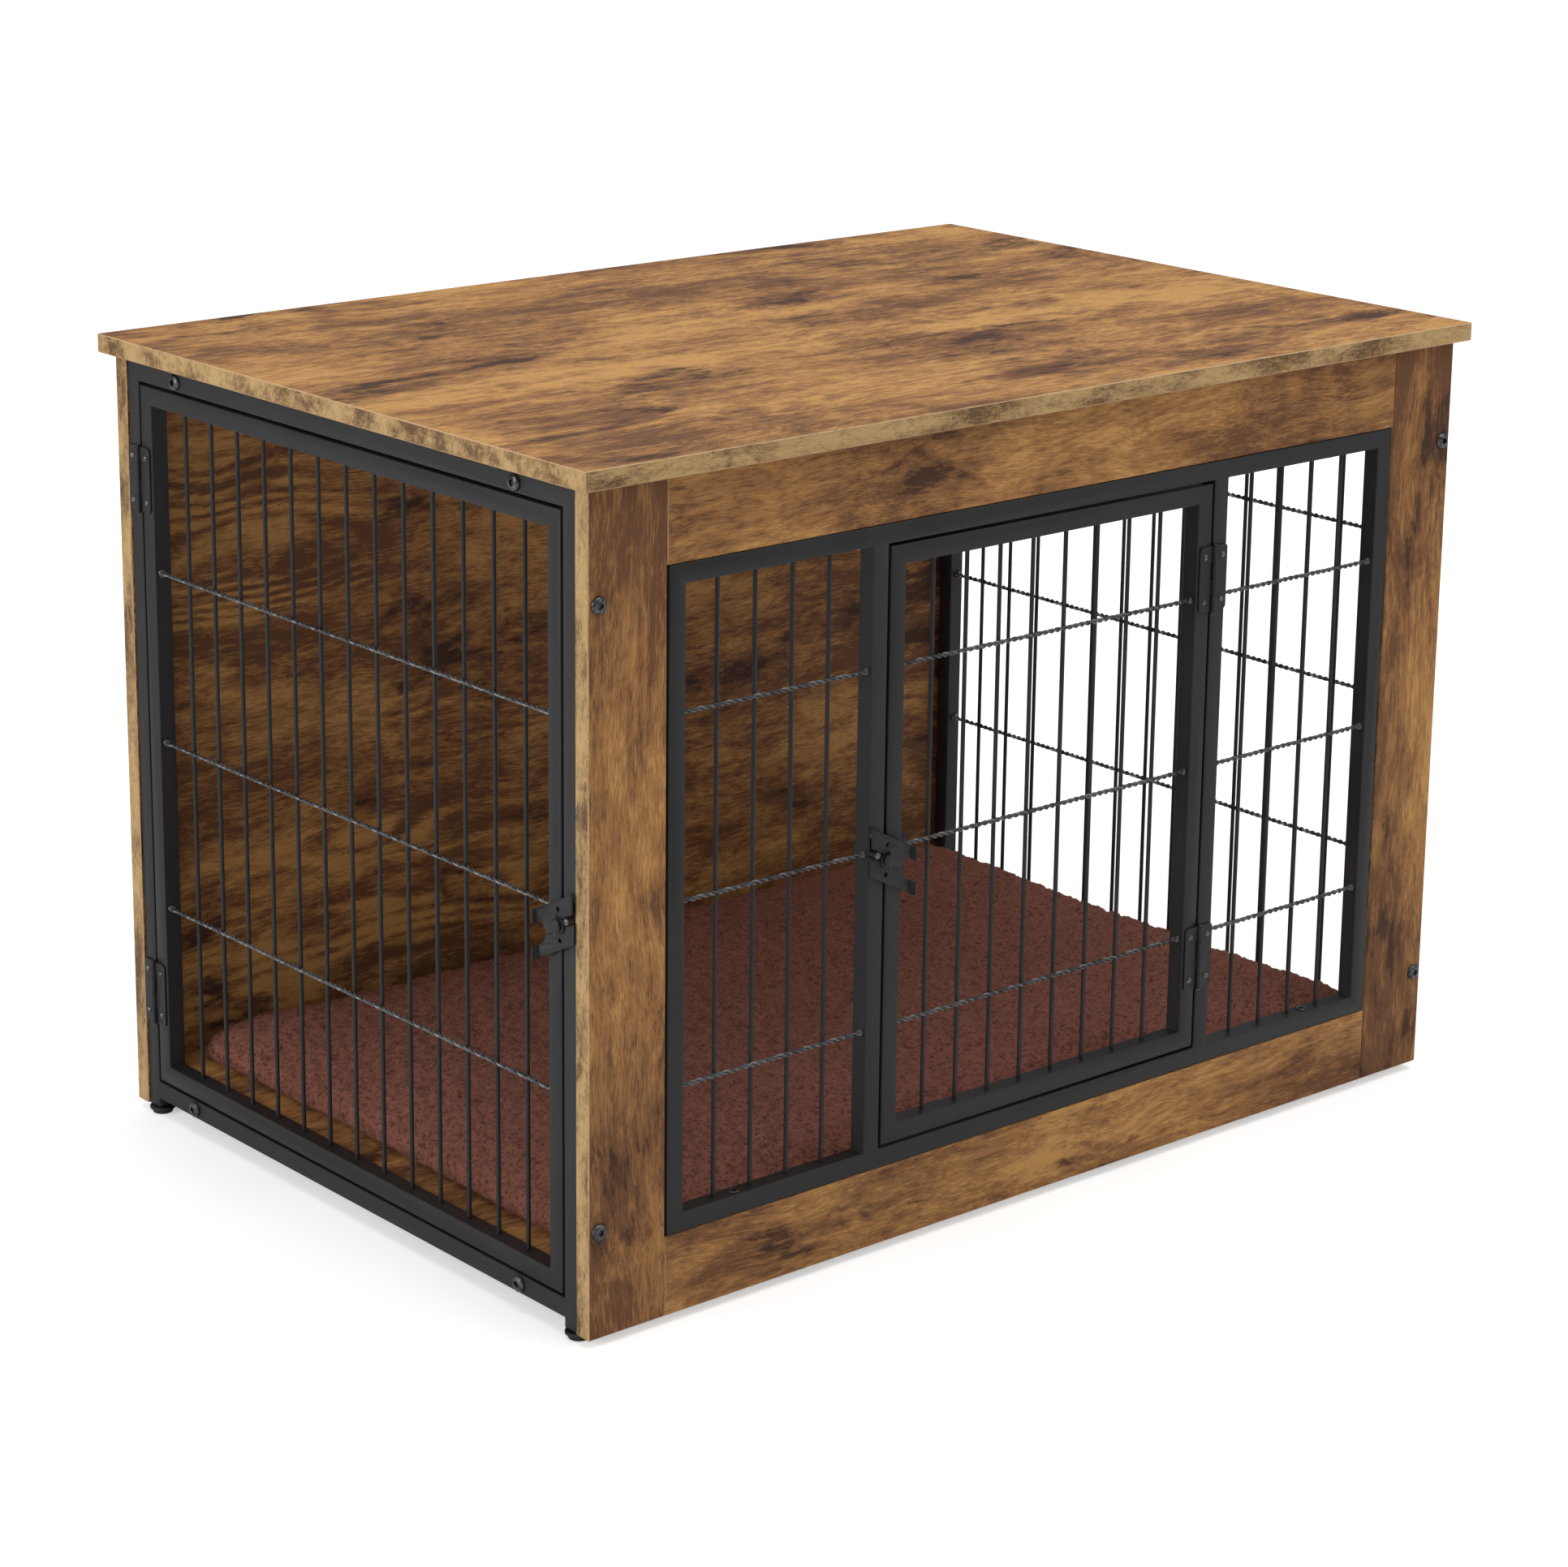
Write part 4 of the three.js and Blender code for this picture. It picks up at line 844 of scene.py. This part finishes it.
for wall, way in (("front", WAYS["front"]), ("side", WAYS["left"])):
    low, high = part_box(f"{wall}_latch_pivot")
    middle = (low + high) / 2
    for half, sign in (("upper", 1), ("lower", -1)):
        spring_mesh = half_spring(f"{wall}_latch_spring", middle, sign)
        leg = show_piece(
            f"{wall}_latch_spring_{half}_leg", spring_mesh, None, [black_zinc],
            [f"{wall}_latch_spring"], smooth=50,
        )
        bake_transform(leg)
    keeper = f"{wall}_latch_keeper"
    strap_face = face_middle(keeper, -way) + way * KEEPER_STRAP_FACE
    stud_spots = [(face_middle(keeper, way), way)]
    for sign in (-1, 1):
        stud_spots.append((strap_face + Vector((0, 0, sign * KEEPER_RIVET_SPACING / 2)), way))
    set_heads(f"{wall}_keeper_rivets", rivet_dome, stud_spots, "cabinet", rivet_black)


# ---- Levelling feet ----
# A moulded black plastic foot stands under each corner post. Its bevelled pad and its threaded
# stem are one turned form here, with a plain stem.

FOOT_PROFILE = [
    (0, 0), (7.4, 0), (8.0, 0.3), (9.2, 3.1), (10.3, 3.6), (10.6, 4.0), (10.6, 5.5), (10.1, 6),
    (4.0, 6), (4.0, 25), (0, 25),
]
PLASTIC_DARK = (0.008, 0.008, 0.009, 1)
PLASTIC_LIGHT = (0.02, 0.02, 0.021, 1)

moulded_black = make_clouded(
    "moulded_black_plastic", 90, (PLASTIC_DARK, PLASTIC_LIGHT), (0.42, 0.6), (0.3, 0.08 * MM),
    relief=(1400, 3), least=0.35,
)
for node in sorted(frame["nodes"]):
    if node.endswith("_foot"):
        low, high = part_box(node)
        foot_mesh = turned_mesh(f"{node}_turned", FOOT_PROFILE, 40)
        foot_mesh.transform(Matrix.Translation(((low.x + high.x) / 2, (low.y + high.y) / 2, low.z)))
        show_piece(f"{node}_turned", foot_mesh, node, [moulded_black], [node])


# ---- Bed ----
# A loose foam mat in a curly brown fleece cover lies on the floor board. Its cover is blown up as
# cloth over an even grid, and a fixed noise then raises its slow swells and its fine curls.

BED_GRID = 7 * MM
SETTLING_STEPS = 3
STUFFING_PRESSURE = 4
STUFFING_FRAMES = 20
MOST_SWELLING = 6 * MM
SWELL_HEIGHT = 2 * MM
SWELL_SCALE = 9
CURL_HEIGHT = 3.4 * MM
CURL_SCALE = 125
SMALL_CURL_SCALE = 240
SMALL_CURL_SHARE = 0.5
SOLE_HEIGHT = 2 * MM
SOLE_FADE = 6 * MM
HIGHEST_CURL = 8 * MM
# painted shade: the colour of the low places between the curls
FLEECE_PAINTED_GAP_SHADE = (0.095, 0.032, 0.022, 1)
FLEECE_DULL = (0.275, 0.097, 0.067, 1)
FLEECE_FRESH = (0.315, 0.114, 0.080, 1)
FLEECE_SHEEN = (0.8, 0.5, 0.4, 1)


def make_fleece():
    """Curls with painted shade in the gaps between them, over a cover that is duller in broad patches.
    """
    material, tree, shader, place = start_material("curly_brown_fleece")
    curls = fine_noise(tree, place, 290, 3, 0.6, 0.3)
    fibres = fine_noise(tree, place, 1100, 3, 0.7, 1.0)
    wear = ramp_between(tree, fine_noise(tree, place, 7, 3), 0.35, 0.7)
    cover = blend_colors(tree, wear, FLEECE_DULL, FLEECE_FRESH)
    # where the curl noise is low, and the bump sinks the cover, the colour goes to the painted gap
    # shade
    fill_inputs(tree, shader, {
        "Base Color": blend_colors(tree, ramp_between(tree, curls, 0.32, 0.56), FLEECE_PAINTED_GAP_SHADE, cover),
        "Roughness": 0.95,
        "Specular IOR Level": 0.15,
        "Sheen Weight": 0.25,
        "Sheen Roughness": 0.6,
        "Sheen Tint": FLEECE_SHEEN,
    })
    add_bump(tree, shader, math_result(tree, "MULTIPLY_ADD", fibres, 0.3, curls), 0.9, 2.5 * MM)
    return material


def stuffed(worker):
    """Blows the cover up as cloth and gives its points' places."""
    cloth = worker.modifiers.new("Stuffing", "CLOTH")
    cloth.settings.use_pressure = True
    cloth.settings.uniform_pressure_force = STUFFING_PRESSURE
    cloth.settings.effector_weights.gravity = 0
    cloth.point_cache.frame_start = 1
    cloth.point_cache.frame_end = STUFFING_FRAMES
    for step in range(1, STUFFING_FRAMES + 1):
        crate_scene.frame_set(step)
    blown = worker.evaluated_get(bpy.context.evaluated_depsgraph_get()).data
    places = [vertex.co.copy() for vertex in blown.vertices]
    worker.modifiers.remove(cloth)
    crate_scene.frame_set(1)
    return places


def raise_curls(mesh):
    """Lifts each point along its normal, but for the sole that lies on the floor board."""
    low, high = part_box("bed")
    normals = [vertex.normal.copy() for vertex in mesh.vertices]
    for vertex, normal in zip(mesh.vertices, normals):
        place = vertex.co.copy()
        loose = min(1, max(0, (place.z - low.z - SOLE_HEIGHT) / SOLE_FADE))
        swell = SWELL_HEIGHT * noise.noise(place * SWELL_SCALE)
        small_curl = SMALL_CURL_SHARE * noise.noise(place * SMALL_CURL_SCALE)
        curl = CURL_HEIGHT * (noise.noise(place * CURL_SCALE) + small_curl)
        vertex.co = place + normal * loose * (swell + curl)
        vertex.co.z = min(max(vertex.co.z, low.z), high.z + HIGHEST_CURL)


def bed_mesh():
    """The CAD bed on an even grid, stuffed as cloth, subdivided once and raised into curls."""
    worker = linked_object("bed_grid", mesh_of(merged_shell("bed"), "bed_cover"))
    remesh = worker.modifiers.new("Even grid", "REMESH")
    remesh.mode = "VOXEL"
    remesh.voxel_size = BED_GRID
    smooth = worker.modifiers.new("Settle", "SMOOTH")
    smooth.iterations = SETTLING_STEPS
    cover = finished_mesh(worker, "bed_cover_grid")
    worker = linked_object("bed_stuffing", cover)
    for vertex, place in zip(cover.vertices, stuffed(worker)):
        moved = place - vertex.co
        if moved.length > MOST_SWELLING:
            moved *= MOST_SWELLING / moved.length
        vertex.co += moved
    finer = worker.modifiers.new("Finer", "SUBSURF")
    finer.levels = finer.render_levels = 1
    fine = finished_mesh(worker, "fleece_bed")
    raise_curls(fine)
    return fine


bed = show_piece("fleece_bed", bed_mesh(), "bed", [make_fleece()], ["bed"], smooth=180)


# ---- Studio ----
# A plain pale floor, soft light from above, from the front right and from the left, and the
# camera. The floor and the sky are brighter where the camera sees them than as lights.

FLOOR_HALF = 30
FLOOR_DULL = (0.93, 0.93, 0.93, 1)
FLOOR_BRIGHT = (0.95, 0.95, 0.95, 1)
SKY_AS_LIGHT = 0.32
SKY_AS_SEEN = 1
# each softbox: place, aim, size in metres, power in watts
SOFTBOXES = {
    "overhead": ((0.3, -0.4, 3.2), (0, 0, 0.3), 3.5, 66),
    "front_right": ((2.2, -3.0, 2.0), (0, 0, 0.35), 2.2, 17),
    "left": ((-3.6, 0.4, 1.5), (0, 0, 0.35), 2.2, 52),
}
CAMERA_PLACE = (-2.0801, -2.4140, 1.2495)
CAMERA_YAW = 40.614
CAMERA_PITCH = 14.868
CAMERA_ROLL = 0.680
CAMERA_LENS = 91.97
CAMERA_SHIFT = -0.1


def make_floor():
    """A pale floor that glows for the camera alone, more so far from the crate."""
    material, tree, shader, place = start_material("pale_floor")
    mottle = ramp_between(tree, fine_noise(tree, place, 6, 3), 0.3, 0.7)
    color = blend_colors(tree, mottle, FLOOR_DULL, FLOOR_BRIGHT)
    seen = place_node(tree, "ShaderNodeLightPath").outputs["Is Camera Ray"]
    distance = place_node(tree, "ShaderNodeVectorMath", {0: place}, operation="LENGTH")
    glow = ramp_between(tree, distance.outputs["Value"], 0.8, 3.0, 0.5, 0.85)
    fill_inputs(tree, shader, {
        "Base Color": color,
        "Emission Color": color,
        "Emission Strength": math_result(tree, "MULTIPLY", seen, glow),
        "Roughness": 0.9,
        "Specular IOR Level": 0.1,
    })
    return material


floor_mesh = bpy.data.meshes.new("studio_floor")
floor_signs = [(-1, -1), (1, -1), (1, 1), (-1, 1)]
floor_corners = [(x * FLOOR_HALF, y * FLOOR_HALF, 0) for x, y in floor_signs]
floor_mesh.from_pydata(floor_corners, [], [(0, 1, 2, 3)])
floor_mesh.materials.append(make_floor())
studio_floor = linked_object("studio_floor", floor_mesh)

for name, (place, aim, size, power) in SOFTBOXES.items():
    light = bpy.data.lights.new(name, "AREA")
    light.size = size
    light.energy = power
    lamp = linked_object(name, light)
    lamp.location = place
    lamp.rotation_euler = (Vector(aim) - Vector(place)).to_track_quat("-Z", "Y").to_euler()

studio_world = bpy.data.worlds.new("studio_world")
studio_world.use_nodes = True
sky_tree = studio_world.node_tree
sky_seen = place_node(sky_tree, "ShaderNodeLightPath").outputs["Is Camera Ray"]
fill_inputs(sky_tree, sky_tree.nodes["Background"], {
    "Color": (1, 1, 1, 1),
    "Strength": ramp_between(sky_tree, sky_seen, 0, 1, SKY_AS_LIGHT, SKY_AS_SEEN),
})
crate_scene.world = studio_world
crate_scene.view_settings.view_transform = "Standard"

camera_data = bpy.data.cameras.new("photo_camera")
camera_data.lens = CAMERA_LENS
camera_data.shift_y = CAMERA_SHIFT
photo_camera = linked_object("photo_camera", camera_data)
photo_camera.matrix_world = (
    Matrix.Translation(CAMERA_PLACE)
    @ Matrix.Rotation(radians(-CAMERA_YAW), 4, "Z")
    @ Matrix.Rotation(radians(90 - CAMERA_PITCH), 4, "X")
    @ Matrix.Rotation(radians(CAMERA_ROLL), 4, "Z")
)
crate_scene.camera = photo_camera
